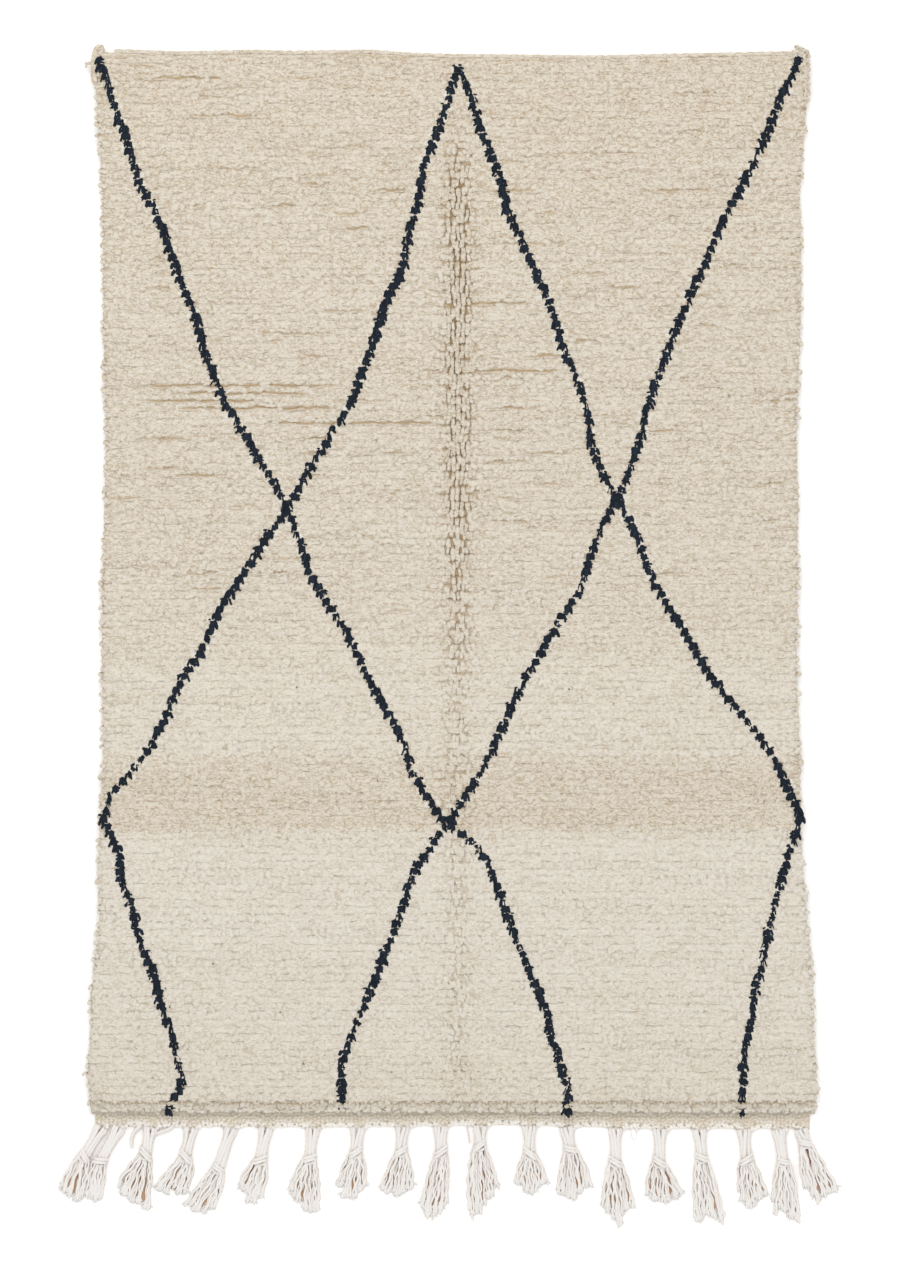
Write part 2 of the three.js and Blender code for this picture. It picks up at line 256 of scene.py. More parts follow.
def drift(x, y, across, along):
    """A soft random field over the rug, from -1 to 1, whose swells are about across by along metres."""
    grid = chance.uniform(-1.0, 1.0, (int(2.4 / along) + 3, int(1.8 / across) + 3))
    u, v = (x + 0.8) / across, (y + 1.1) / along
    column, row = u.astype(int), v.astype(int)
    fu, fv = u - column, v - row
    fu, fv = fu * fu * (3.0 - 2.0 * fu), fv * fv * (3.0 - 2.0 * fv)
    lower = grid[row, column] * (1.0 - fu) + grid[row, column + 1] * fu
    upper = grid[row + 1, column] * (1.0 - fu) + grid[row + 1, column + 1] * fu
    return lower * (1.0 - fv) + upper * fv


def crease(x, y):
    """How far the pile has parted down the middle, from 0 to 1."""
    deep = np.interp(y, [-0.667, -0.10, 0.25, 0.62, 0.74], [0.28, 0.44, 1.0, 1.0, 0.1])
    return deep * np.exp(-(((x - crease_x) / crease_width) ** 2))


lump_seed = chance.uniform(0.0, 6.28, 6)


def body_top(x, y):
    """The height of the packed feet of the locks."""
    lumps = np.sin(x * 31.0 + y * 17.0 + lump_seed[0]) + np.sin(y * 103.0 + x * 9.0 + lump_seed[1])
    lumps += np.sin(x * 71.0 - y * 39.0 + lump_seed[2]) + np.sin(x * 133.0 + y * 67.0 + lump_seed[3])
    return packed + 0.00030 * lumps - 0.0030 * crease(x, y)


def lock_form(corners, heights):
    """A closed upright lock of unit size with a ring of points at each height, pointed at both ends."""
    form = bmesh.new()
    bmesh.ops.create_cone(form, cap_ends=True, segments=corners, radius1=1.0, radius2=1.0, depth=1.0)
    bmesh.ops.translate(form, verts=form.verts, vec=(0.0, 0.0, 0.5))
    for height in heights:
        everything = form.verts[:] + form.edges[:] + form.faces[:]
        bmesh.ops.bisect_plane(form, geom=everything, plane_co=(0.0, 0.0, height), plane_no=(0.0, 0.0, 1.0))
    for end in (0.0, 1.0):
        ring = [vertex for vertex in form.verts if abs(vertex.co.z - end) < 1e-4]
        bmesh.ops.pointmerge(form, verts=ring, merge_co=(0.0, 0.0, end))
    return made_mesh("lock_form", form)


def set_shade(mesh, key, values):
    """Stores a named shade for each vertex of a mesh, which its material reads."""
    attribute = mesh.attributes.new(key, "FLOAT", "POINT")
    attribute.data.foreach_set("value", values.astype(np.float32))


def copies(name, *batches):
    """One mesh of many copies of forms. A batch is a form, its copies' vertices, normals and named shades."""
    places, corners, sizes, total = [], [], [], 0
    for form, points, _, _ in batches:
        count, size = points.shape[:2]
        form_corners = np.array([index for face in form.polygons for index in face.vertices])
        places.append(points.reshape(-1, 3))
        corners.append((form_corners + size * np.arange(count)[:, None]).ravel() + total)
        sizes.append(np.tile([len(face.vertices) for face in form.polygons], count))
        total += count * size
    places, corners, sizes = np.concatenate(places), np.concatenate(corners), np.concatenate(sizes)
    mesh = bpy.data.meshes.new(name)
    mesh.vertices.add(total)
    mesh.vertices.foreach_set("co", places.astype(np.float32).ravel())
    mesh.loops.add(len(corners))
    mesh.loops.foreach_set("vertex_index", corners)
    mesh.polygons.add(len(sizes))
    mesh.polygons.foreach_set("loop_start", np.concatenate([[0], np.cumsum(sizes)[:-1]]))
    mesh.update(calc_edges=True)
    facing = np.concatenate([facing.reshape(-1, 3) for _, _, facing, _ in batches])
    mesh.normals_split_custom_set_from_vertices(facing.tolist())
    for key in batches[0][3]:
        values = [np.broadcast_to(shades[key], points.shape[:2]).ravel() for _, points, _, shades in batches]
        set_shade(mesh, key, np.concatenate(values))
    return mesh


# The four dark lines, as a weaver draws them row by row from the bound end to the tassels: x, y
dark_lines = [
    np.array([
        (-0.491, 0.804), (-0.476, 0.761), (-0.462, 0.720), (-0.445, 0.672), (-0.434, 0.630), (-0.418, 0.603),
        (-0.399, 0.558), (-0.380, 0.503), (-0.357, 0.449), (-0.343, 0.396), (-0.329, 0.357), (-0.314, 0.323),
        (-0.293, 0.290), (-0.273, 0.256), (-0.248, 0.216), (-0.227, 0.176), (-0.210, 0.133), (-0.196, 0.084),
        (-0.175, 0.049), (-0.147, 0.007), (-0.126, -0.035), (-0.105, -0.077), (-0.081, -0.119),
        (-0.063, -0.154), (-0.056, -0.189), (-0.035, -0.224), (-0.007, -0.263), (0.028, -0.287),
        (0.052, -0.315), (0.070, -0.364), (0.090, -0.420), (0.109, -0.466), (0.129, -0.517),
        (0.140, -0.536), (0.137, -0.550), (0.150, -0.585), (0.166, -0.637), (0.163, -0.660),
    ]),
    np.array([
        (0.011, 0.797), (0.000, 0.757), (-0.021, 0.697), (-0.034, 0.666), (-0.045, 0.608), (-0.060, 0.550),
        (-0.066, 0.514), (-0.090, 0.465), (-0.109, 0.403), (-0.122, 0.371), (-0.131, 0.341), (-0.148, 0.307),
        (-0.169, 0.277), (-0.185, 0.249), (-0.204, 0.220), (-0.222, 0.183), (-0.239, 0.160),
        (-0.263, 0.126), (-0.294, 0.077), (-0.322, 0.035), (-0.343, -0.014), (-0.371, -0.056),
        (-0.392, -0.098), (-0.417, -0.155), (-0.442, -0.186), (-0.466, -0.216), (-0.476, -0.224),
        (-0.480, -0.248), (-0.489, -0.259), (-0.477, -0.269), (-0.468, -0.291), (-0.461, -0.317),
        (-0.460, -0.347), (-0.447, -0.375), (-0.432, -0.437), (-0.413, -0.480), (-0.403, -0.524),
        (-0.388, -0.559), (-0.382, -0.596), (-0.375, -0.615), (-0.378, -0.634), (-0.393, -0.660),
    ]),
    np.array([
        (0.013, 0.797), (0.024, 0.764), (0.048, 0.693), (0.067, 0.648), (0.081, 0.592), (0.104, 0.543),
        (0.125, 0.498), (0.146, 0.449), (0.157, 0.407), (0.168, 0.379), (0.183, 0.346), (0.193, 0.311),
        (0.196, 0.270), (0.206, 0.244), (0.218, 0.216), (0.232, 0.192), (0.251, 0.160), (0.266, 0.126),
        (0.287, 0.070), (0.322, 0.014), (0.350, -0.035), (0.378, -0.077), (0.406, -0.108), (0.430, -0.139),
        (0.454, -0.172), (0.469, -0.206), (0.483, -0.239), (0.491, -0.260), (0.482, -0.283),
        (0.470, -0.319), (0.461, -0.351), (0.445, -0.417), (0.437, -0.461), (0.427, -0.498),
        (0.422, -0.539), (0.413, -0.580), (0.409, -0.623), (0.409, -0.665),
    ]),
    np.array([
        (0.490, 0.812), (0.481, 0.790), (0.465, 0.757), (0.447, 0.708), (0.424, 0.659), (0.402, 0.615),
        (0.379, 0.574), (0.361, 0.528), (0.339, 0.480), (0.318, 0.431), (0.304, 0.395), (0.291, 0.363),
        (0.276, 0.322),
        (0.271, 0.288), (0.259, 0.252), (0.244, 0.213), (0.223, 0.172), (0.207, 0.137), (0.182, 0.063),
        (0.133, -0.014), (0.098, -0.077), (0.077, -0.119), (0.056, -0.168), (0.028, -0.217),
        (0.000, -0.259), (-0.021, -0.287), (-0.049, -0.329), (-0.063, -0.371), (-0.078, -0.416),
        (-0.095, -0.454), (-0.112, -0.503), (-0.132, -0.547), (-0.151, -0.596), (-0.152, -0.623),
        (-0.152, -0.658),
    ]),
]

# How pale the cream wool is up the rug, as it came from one fleece after another: y, share of the palest
fleeces = np.array([
    (-0.667, 0.72), (-0.55, 0.82), (-0.40, 0.86), (-0.30, 0.86), (-0.275, 0.80), (-0.262, 0.40),
    (-0.20, 0.36), (-0.165, 0.50), (-0.155, 0.74), (-0.06, 0.74), (0.01, 0.60), (0.20, 0.52),
    (0.40, 0.50), (0.60, 0.42), (0.75, 0.36), (0.82, 0.30),
])
stations = [0.0, 0.42, 0.86, 1.0]  # along a lock: its foot, where it swells and thins, and its tip
lock = lock_form(4, stations[1:-1])
lock_points = np.array([vertex.co for vertex in lock.vertices])
along_lock = lock_points[:, 2]


def lie_of(turn):
    """The directions ahead along locks and aside of them, as each is turned from -Y."""
    level = np.zeros_like(turn)
    ahead = np.stack([np.sin(turn), -np.cos(turn), level], axis=1)
    aside = np.stack([np.cos(turn), np.sin(turn), level], axis=1)
    return ahead[:, None, :], aside[:, None, :]


def laid_locks(x, y, z, turn, length, width, bow, lifts, thick=None):
    """The vertices of locks that lie from (x, y, z) in the direction that each is turned to from -Y."""
    thick = width if thick is None else thick
    x, y, z, turn, length, width, bow, thick = np.broadcast_arrays(x, y, z, turn, length, width, bow, thick)
    ahead, aside = lie_of(turn)
    stout = np.interp(along_lock, stations, [0.0, 1.0, 0.88, 0.0])
    points = np.stack([x, y, z], axis=1)[:, None, :] + ahead * length[:, None, None] * along_lock[:, None]
    points = points + aside * bow[:, None, None] * (along_lock**2)[:, None]
    points = points + aside * width[:, None, None] * (stout * lock_points[:, 0])[:, None]
    points[:, :, 2] += np.interp(along_lock, stations, lifts)
    points[:, :, 2] += thick[:, None] * stout * lock_points[:, 1]
    return points


def soft_facing(turn, softness):
    """Normals of laid locks that point mostly up, as loose fibres catch the light from above all over."""
    softness = np.broadcast_to(softness, turn.shape)[:, None, None]
    ahead, aside = lie_of(turn)
    facing = softness * aside * lock_points[:, 0][:, None]
    facing = facing + softness * ahead * (2.0 * (along_lock > 0.9) - 1.0 * (along_lock < 0.1))[:, None]
    facing[:, :, 2] += 1.0
    return facing / np.linalg.norm(facing, axis=2, keepdims=True)


def knot_rows():
    """Where the locks start, row by row, up to the bound edge: x, y and the number of the row."""
    found = []
    for row in range(rows - 1):
        y = first_row + row * row_pitch
        pitch = np.interp(y, [-0.60, -0.10, 0.30], [0.0037, 0.0039, 0.0042])
        xs = np.arange(left_edge(y) + rim_inset, right_edge(y) - rim_inset, pitch)
        xs = xs + chance.uniform(-0.3, 0.3, len(xs)) * pitch
        found.append(np.stack([xs, np.full(len(xs), y), np.full(len(xs), float(row))]))
    return np.concatenate(found, axis=1)


waver = chance.uniform(-0.0021, 0.0021, (rows + 1, 140))  # how each row runs up and down across the rug
clumps = chance.uniform(-0.0034, 0.0034, (rows + 1, 128))  # how far each soft clump of locks reaches
gaping = np.clip(chance.normal(-0.30, 0.60, (rows + 1, 22)), 0.0, 1.0)  # where the rows have parted
up_the_rug = np.arange(rows + 1) / rows
gaping *= np.interp(up_the_rug, [0.0, 0.40, 0.52, 1.0], [0.2, 0.3, 1.0, 0.9])[:, None]
gaping_columns = np.linspace(-half_table, half_table, gaping.shape[1])
open_rows = [  # the rows that gape widest: y, from x, to x
    (0.361, -0.42, -0.14),
    (0.350, -0.38, -0.20),
    (0.339, -0.42, -0.25),
    (0.328, -0.40, -0.16),
    (0.309, -0.25, -0.02),
    (0.385, 0.01, 0.16),
    (0.480, 0.02, 0.13),
    (0.795, -0.40, -0.30),
]
for y, x_from, x_to in open_rows:
    within = (gaping_columns > x_from) & (gaping_columns < x_to)
    gaping[int((y - first_row) / row_pitch), within] = 1.0


def across_rows(table, x, row):
    """Reads a table of the rows at x, smoothly between its columns."""
    at = (x + half_table) / (2.0 * half_table) * (table.shape[1] - 1)
    column = np.clip(at.astype(int), 0, table.shape[1] - 2)
    share = np.clip(at - column, 0.0, 1.0)
    share = share * share * (3.0 - 2.0 * share)
    row = np.clip(row, 0, len(table) - 1).astype(int)
    return table[row, column] * (1.0 - share) + table[row, column + 1] * share


knot_x, knot_y, knot_row = knot_rows()
last_start = bound_line(knot_x) - binding_width + 0.0005
from_rim = np.minimum(knot_x - left_edge(knot_y), right_edge(knot_y) - knot_x)
beside_cords = (knot_y > 0.745) & (from_rim < 0.0045)  # where the corner cords lie instead
keep = (knot_y < last_start + row_pitch) & ~beside_cords
knot_x, knot_y, knot_row, last_start = knot_x[keep], knot_y[keep], knot_row[keep], last_start[keep]
knots = len(knot_x)
parting = crease(knot_x, knot_y)
calm = np.interp(knot_y, [-0.60, -0.15, 0.10, 0.45], [1.0, 0.9, 0.5, 0.4])  # the rows blur towards the tassels
start_y = knot_y + across_rows(waver, knot_x, knot_row) + chance.normal(0.0, 0.0006, knots)
start_y += calm * chance.normal(0.0, 0.0012, knots)
opened = across_rows(gaping, knot_x, knot_row) * (1.0 - parting)
last_clump = clumps.shape[1] - 1
clump = np.rint((knot_x + half_table + 0.003 * (knot_row % 3)) / 1.13 * last_clump)
clump = np.clip(clump, 0, last_clump).astype(int)
start_y += clumps[knot_row.astype(int), clump] * (1.0 - 0.8 * opened) * (1.0 - 0.8 * parting)
start_y = np.minimum(start_y, last_start)

# In the parting the locks stand in straight columns down the rug. Elsewhere those beside each other lean
# alike, in soft tufts, and those at the rim lean out over it
from_left, from_right = knot_x - left_edge(knot_y), right_edge(knot_y) - knot_x
column_pitch = 0.0068
column = crease_x + column_pitch * np.round((knot_x - crease_x) / column_pitch)
column += chance.normal(0.0, 0.0006, knots)
knot_x = knot_x + (column - knot_x) * np.clip(1.8 * parting - 0.5, 0.0, 0.85)
turn = 0.30 * drift(knot_x, knot_y, 0.050, 0.030) + 0.55 * drift(knot_x, knot_y, 0.012, 0.010)
turn += calm * 0.35 * chance.normal(0.0, 1.0, knots)
turn *= 1.0 - 0.7 * parting
turn += 0.8 * (np.exp(-from_right / 0.005) - np.exp(-from_left / 0.005))

length = np.interp(knot_y, [-0.60, -0.10, 0.20], [0.0160, 0.0150, 0.0143])
length *= (1.0 + 0.24 * parting) * (1.0 - 0.42 * opened) * chance.uniform(0.86, 1.12, knots)
width = np.interp(knot_y, [-0.60, -0.10, 0.30], [0.0036, 0.0044, 0.0050]) * chance.uniform(0.75, 1.25, knots)
width *= 1.0 - 0.40 * np.clip(1.6 * parting, 0.0, 1.0)
thick = 0.0010 * chance.uniform(0.8, 1.2, knots)
rim = np.exp(-np.minimum(from_left, from_right) / 0.005)
length *= 1.0 - 0.75 * rim
length = np.minimum(length, start_y - tassel_end + chance.uniform(-0.001, 0.003, knots))
width *= 1.0 - 0.4 * rim
thick *= 1.0 + 0.9 * rim
start_z = body_top(knot_x, start_y) - 0.0007 + 0.0007 * parting
start_z = start_z + chance.normal(0.0, 0.00025, knots) - 0.0030 * rim
bow = chance.normal(0.0, 0.0012, knots)
softness = np.interp(knot_y, [-0.60, -0.10, 0.20], [0.40, 0.45, 0.65]) + 0.6 * parting
lock_lifts = (-0.0024, 0.0012, 0.0017, 0.0002)
points = laid_locks(knot_x, start_y, start_z, turn, length, width, bow, lock_lifts, thick)

# The dark knots of each row: a few close, narrow locks that spread at their tips over the cream ones
dark = np.zeros(knots, bool)
beside = np.zeros(knots, bool)
tip_x = knot_x + np.sin(turn) * length * 0.6
girth_count = 60
navy_starts = []  # x, y, turn, length, width and how far each stands over the packed pile
for line in dark_lines:
    down = line[::-1]
    girths = chance.uniform(0.64, 1.16, girth_count)  # how wide the line was knotted, every three rows or so
    for row in range(int(knot_row.max()) + 1):
        y = first_row + row * row_pitch
        if not line[-1, 1] < y < line[0, 1] + row_pitch:
            continue
        ends = np.interp([y - 1.2 * row_pitch, y - 0.4 * row_pitch], down[:, 1], down[:, 0])
        half = chance.choice([0.0010, 0.0027, 0.0040, 0.0050], p=[0.13, 0.29, 0.34, 0.24])
        middle = ends.mean() + chance.normal(0.0, 0.0008)
        half *= 0.93 * np.interp(row / 2.6, np.arange(girth_count), girths)
        half += 0.14 * abs(ends[1] - ends[0])
        in_row = knot_row == row
        dark |= in_row & (np.abs(tip_x - middle) < half - 0.0006)
        beside |= in_row & (np.abs(tip_x - middle) < half + 0.0050)
        # a broad lock, a few narrower ones that spread from it, and short tips that stick out sideways
        navy_starts.append([middle, y + 0.002, chance.normal(0.0, 0.10), 0.0165, half * 1.05, 0.0])
        for offset in np.linspace(-0.6, 0.6, 3):
            x, start = middle + offset * half, y + chance.normal(0.0, 0.0010)
            lean, reach = 0.30 * offset + chance.normal(0.0, 0.12), 0.0155 * chance.uniform(0.85, 1.12)
            girth = min(0.0022, 0.0006 + 0.45 * half) * chance.uniform(0.8, 1.2)
            navy_starts.append([x, start, lean, reach, girth, 0.0003])
        for barb in range(chance.integers(2, 5)):
            side = 1.0 if barb % 2 else -1.0
            x, start = middle + side * (half - 0.0034), y - row_pitch * chance.uniform(0.1, 1.0)
            lean, reach = side * chance.uniform(0.8, 1.5), chance.uniform(0.0058, 0.0082)
            navy_starts.append([x, start, lean, reach, chance.uniform(0.0010, 0.0018), 0.0005])
beside &= ~dark
stray_fibres = [  # dark fibres that were spun into the cream wool: x, y
    (-0.333, -0.459), (-0.239, -0.528), (-0.203, -0.601), (-0.101, -0.202), (-0.216, -0.073), (0.168, -0.077),
    (-0.399, -0.493), (-0.391, -0.519),
]
for x, y in stray_fibres:
    navy_starts.append([x, y, chance.uniform(-2.0, 2.0), 0.0032, 0.0008, 0.0016])
navy_x, navy_y, navy_turn, navy_length, navy_width, navy_rise = np.array(navy_starts).T
navies = len(navy_x)
short = navy_length < 0.0100
navy_z = body_top(navy_x, navy_y) + navy_rise + 0.0009 * short - 0.0001
navy_points = laid_locks(
    navy_x, navy_y, navy_z, navy_turn, navy_length, navy_width, chance.normal(0.0, 0.0006, navies),
    (-0.0008, 0.0012, 0.0015, 0.0004), np.where(short, 0.0008, 0.0012),
)

# The last rows' locks hang over the end of the pile in two layers
hang_pitch = 0.0050
hang_start = -0.6530
hang_rows = [np.arange(-0.501, 0.509, hang_pitch), np.arange(-0.500, 0.508, hang_pitch)]
lower = np.repeat([0.0, 1.0], [len(xs) for xs in hang_rows])
hangs = len(lower)
hang_x = np.concatenate(hang_rows) + chance.uniform(-0.0012, 0.0012, hangs)
hang_lump = drift(hang_x, np.full(hangs, 0.6), 0.010, 0.1)
hang_turn = 0.6 * drift(hang_x, np.full(hangs, 0.3), 0.015, 0.1) + chance.normal(0.0, 0.25, hangs)
hang_width = 0.0031 * chance.uniform(0.75, 1.3, hangs)
hang_y = hang_start - hang_pitch * lower + 0.0016 * hang_lump + chance.normal(0.0, 0.0006, hangs)
hang_length = 0.0112 * chance.uniform(0.80, 1.15, hangs)
hang_points = laid_locks(
    hang_x, hang_y, packed + 0.0026 - 0.0044 * lower, hang_turn, hang_length, hang_width,
    chance.normal(0.0, 0.0010, hangs), (-0.001, 0.0006, -0.0022, -0.0058), 0.0022,
)

tone = np.interp(knot_y, fleeces[:, 0], fleeces[:, 1])
tone += 0.10 * drift(knot_x, knot_y, 0.25, 0.012) + 0.05 * drift(knot_x, knot_y, 0.03, 0.02)
# locks in the parting get a darker tone: painted shade in the parted pile
tone += chance.normal(0.0, 0.06, knots) - 0.15 * parting
tone += 0.55 * beside * (chance.uniform(0.0, 1.0, knots) < 0.6)  # paler wool beside the dark lines


def pile_wool(name, pit_shade, dull, pale, sheen, stroke):
    """Loosely spun wool: dull or pale by each lock's tone, with painted shade in short gaps, in strokes between
    strands and at each lock's foot.
    """
    material, tree, shader = fabric_finish(name, sheen)
    tone_in = add_node(tree, "Attribute", "Fac", attribute_name="tone")
    # the height attribute is painted shade: where it is low, the colour goes to the pit shade
    painted_shade_in = add_node(tree, "Attribute", "Fac", attribute_name="height")
    place = add_node(tree, "TexCoord", "Object")
    lie = add_node(tree, "Mapping", "Vector", {"Vector": place, "Scale": (1.0, 2.2, 1.0)})
    # painted shade in short gaps between the fibres
    gaps = add_node(tree, "TexNoise", "Fac", {"Vector": lie, "Scale": 260.0, "Detail": 2.0})
    gap_range = {"Value": gaps, "From Min": 0.30, "From Max": 0.44, "To Min": 0.85}
    gap_depth = add_node(tree, "MapRange", "Result", gap_range)
    # painted shade in strokes between the strands: the paler the wool, the fainter they are
    strand_lay = {"Vector": lie, "Scale": 108.0, "Detail": 3.0, "Distortion": 0.6}
    strands = add_node(tree, "TexNoise", "Fac", strand_lay)
    centred = add_node(tree, "Math", "Value", {0: strands, 1: 0.5}, operation="SUBTRACT")
    edges = add_node(tree, "Math", "Value", {0: centred}, operation="ABSOLUTE")
    stroke_range = {"Value": tone_in, "From Min": 0.30, "From Max": 0.85}
    stroke_range |= {"To Min": stroke, "To Max": 0.5 + 0.5 * stroke}
    stroke_depth = add_node(tree, "MapRange", "Result", stroke_range)
    strand_range = {"Value": edges, "From Max": 0.038, "To Min": stroke_depth}
    strand_depth = add_node(tree, "MapRange", "Result", strand_range)
    # the colour, from the painted shade of the pits up to the lock's own
    spun = add_node(tree, "Math", "Value", {0: gap_depth, 1: strand_depth}, operation="MULTIPLY")
    both = add_node(tree, "Math", "Value", {0: spun, 1: painted_shade_in}, operation="MULTIPLY")
    shades = {"Factor": tone_in, "A": (*dull, 1.0), "B": (*pale, 1.0)}
    shade = add_node(tree, "Mix", "Result", shades, data_type="RGBA")
    depths = {"Factor": both, "A": (*pit_shade, 1.0), "B": shade}
    depth = add_node(tree, "Mix", "Result", depths, data_type="RGBA")
    fibres = add_node(tree, "TexNoise", "Fac", {"Vector": place, "Scale": 700.0, "Detail": 3.0})
    relief = add_node(tree, "Math", "Value", {0: fibres, 1: strand_depth}, operation="ADD")
    bump = add_node(tree, "Bump", "Normal", {"Height": relief, "Distance": 0.0006, "Strength": 0.6})
    feed(tree, shader, {"Base Color": depth, "Normal": bump})
    return material


# Painted shade along each lock: darkest at its foot, deep in the pile, and a little darker on its underside
lock_foot_shade = np.interp(along_lock, [0.0, stations[1], 1.0], [-0.5, 1.0, 1.0]) * (0.9 + 0.1 * lock_points[:, 1])
# The first colour of each wool is its painted shade, for the gaps, the strokes and the feet of the locks
cream_wool = pile_wool(
    "cream_wool", (0.31, 0.198, 0.082), (0.543, 0.488, 0.402), (0.606, 0.583, 0.528), sheen=0.1, stroke=0.18
)
navy_wool = pile_wool(
    "navy_wool", (0.002, 0.003, 0.005), (0.005, 0.008, 0.014), (0.012, 0.020, 0.033), sheen=0.03, stroke=0.6
)

# The packed feet of the locks are one body, down to the ground. Each row stands a little over the root of the
# row below it
bed_columns = 96
bed_stations = np.array([  # up a row: share of its pitch, rise, painted shade, how far it stops inside the rim
    (0.05, 0.0007, 1.0, 0.0030),
    (0.12, 0.0010, 1.0, 0.0022),
    (0.45, 0.0010, 1.0, 0.0006),
    (0.80, 0.0007, 1.0, 0.0016),
    (1.02, -0.0001, 0.85, 0.0030),
])
bed_steps = len(bed_stations) * rows - 1
body_form = bmesh.new()
bmesh.ops.create_grid(body_form, x_segments=bed_columns, y_segments=bed_steps, size=0.5)
rim_edges = [edge for edge in body_form.edges if edge.is_boundary]
walls = bmesh.ops.extrude_edge_only(body_form, edges=rim_edges)
foot = [vertex for vertex in walls["geom"] if isinstance(vertex, bmesh.types.BMVert)]
bmesh.ops.translate(body_form, verts=foot, vec=(0.0, 0.0, -1.0))
rim_edges = [edge for edge in body_form.edges if edge.is_boundary]
underside = bmesh.ops.contextual_create(body_form, geom=rim_edges)
bmesh.ops.poke(body_form, faces=underside["faces"])
bmesh.ops.recalc_face_normals(body_form, faces=body_form.faces)
body_mesh = made_mesh("packed_pile", body_form)

spot = np.empty(len(body_mesh.vertices) * 3, np.float32)
body_mesh.vertices.foreach_get("co", spot)
spot = spot.reshape(-1, 3).astype(float)
is_foot = spot[:, 2] < -0.5
body_row, station = np.divmod(np.rint((spot[:, 1] + 0.5) * bed_steps).astype(int), len(bed_stations))
row_share, row_rise, row_painted_shade, scallop = bed_stations[station].T
slope = (body_row == 0) & (station == 0)  # loose wool that slopes down over the band
seamed = station == 2  # where a parted row shows its seam, sunk and painted with shade
y_nominal = tassel_end + 0.004 + (body_row + row_share) * row_pitch
left, right = left_edge(y_nominal) + scallop, right_edge(y_nominal) - scallop
near_rim = [0, 1, 2, 3, bed_columns - 3, bed_columns - 2, bed_columns - 1, bed_columns]
rim_share = [0, 0.0024, 0.0062, 0.0125, 0.9875, 0.9938, 0.9976, 1]  # the outer columns crowd to the rim
share = np.interp(spot[:, 0] * bed_columns + bed_columns / 2, near_rim, rim_share)
body_x = left + share * (right - left)
seam = across_rows(gaping, body_x, body_row + 1) * (1.0 - crease(body_x, y_nominal)) * seamed
body_y = y_nominal + across_rows(waver, body_x, body_row + (station == 4))
body_y = np.where(is_foot & slope, tassel_end - 0.0045, body_y)
last_y = 0.790  # past here the feet close up, to end at the bound edge
plain_end = tassel_end + 0.0065 + rows * row_pitch  # where the feet would end without the bound edge
squeeze = (bound_line(body_x) - binding_width + 0.001 - last_y) / (plain_end - last_y)
body_y = np.where(body_y > last_y, last_y + (body_y - last_y) * squeeze, body_y)
from_rim = np.minimum(body_x - left_edge(y_nominal), right_edge(y_nominal) - body_x)
from_rim = np.minimum(from_rim, body_y - tassel_end)
body_z = body_top(body_x, body_y) + row_rise - 0.0016 * seam - 0.0060 * np.exp(-from_rim / 0.0040)
body_z += chance.normal(0.0, 0.00025, len(body_z)) - 0.0025 * crease(body_x, body_y) ** 1.5
spot = np.stack([body_x, body_y, np.where(is_foot, ground_top - 0.001, body_z)], axis=1)
body_mesh.vertices.foreach_set("co", spot.astype(np.float32).ravel())
body_tone = np.interp(body_y, fleeces[:, 0], fleeces[:, 1]) - 0.05 + chance.normal(0.0, 0.08, len(body_y))
# Painted shade: a little at every row's seam, more at the seams of parted rows and in the parting down the
# middle
body_painted_shade = row_painted_shade - 0.85 * seam - 0.80 * np.clip(1.6 * crease(body_x, body_y) - 0.2, 0.0, 1.0)
# the slope over the band gets an even, slight painted shade
body_painted_shade = np.where(slope, 0.80, body_painted_shade)
set_shade(body_mesh, "tone", body_tone)
set_shade(body_mesh, "height", np.clip(body_painted_shade, 0.0, 1.0))
packed_pile = show("packed_pile", body_mesh, cream_wool, "wool_pile")
for face in body_mesh.polygons:
    face.use_smooth = len(face.vertices) == 4  # all but the flat underside
slope_facing = slope[:, None] * np.array([[0.0, -0.25, 0.97]])  # lit from above like the locks
body_mesh.normals_split_custom_set_from_vertices(slope_facing.tolist())

fields = 5  # the locks are five pieces, one past another up the rug
field = np.clip((knot_row * fields / (knot_row.max() + 1)).astype(int), 0, fields - 1)
for number in range(fields):
    chosen = ~dark & (field == number)
    # each lock's height shade is painted shade, darkest at its foot
    shades = {"tone": tone[chosen, None], "height": lock_foot_shade}
    batches = [(lock, points[chosen], soft_facing(turn[chosen], softness[chosen]), shades)]
    if number == 0:
        # the hanging locks get a lighter painted shade at their feet
        shades = {"tone": chance.uniform(0.4, 0.9, (hangs, 1)), "height": 0.25 + 0.75 * lock_foot_shade}
        batches.append((lock, hang_points, soft_facing(hang_turn, 0.15), shades))
    mesh = copies(f"cream_pile_{number + 1}", *batches)
    show(mesh.name, mesh, cream_wool, "wool_pile")
# the navy locks are painted darker at their feet too
shades = {"tone": chance.uniform(0.0, 1.0, (navies, 1)), "height": lock_foot_shade}
mesh = copies("navy_lines", (lock, navy_points, soft_facing(navy_turn, 0.45), shades))
show("navy_lines", mesh, navy_wool, "wool_pile")

# ---------------------------------------------------------------- end band
# Past the last knots the ground goes on as a narrow flat band of beige wool weft. Its edge is twined with
# white cotton, and it draws together at the root of each tassel, where the warps leave it.
band_left, band_right = -0.497, 0.504
band_top = 0.0026
band_edge = np.array([  # across the rug: x, the line of the band's outer edge between two tassels
    (-0.497, -0.688), (-0.420, -0.690), (-0.300, -0.690), (-0.190, -0.691), (-0.070, -0.6895), (0.000, -0.688),
    (0.110, -0.688), (0.180, -0.690), (0.260, -0.692), (0.420, -0.693), (0.504, -0.692),
])
root_x = np.array([
    -0.491, -0.466, -0.420, -0.364, -0.308, -0.259, -0.193, -0.130, -0.067, -0.013,
    0.042, 0.111, 0.164, 0.232, 0.294, 0.350, 0.412, 0.461, 0.494,
])


def band_line(x):
    """The band's outer edge: shallow arches that run down into the roots of the tassels."""
    away = np.min(np.abs(np.asarray(x)[..., None] - root_x), axis=-1)
    return np.interp(x, band_edge[:, 0], band_edge[:, 1]) + 0.0015 - 0.0075 * np.exp(-((away / 0.0085) ** 2))


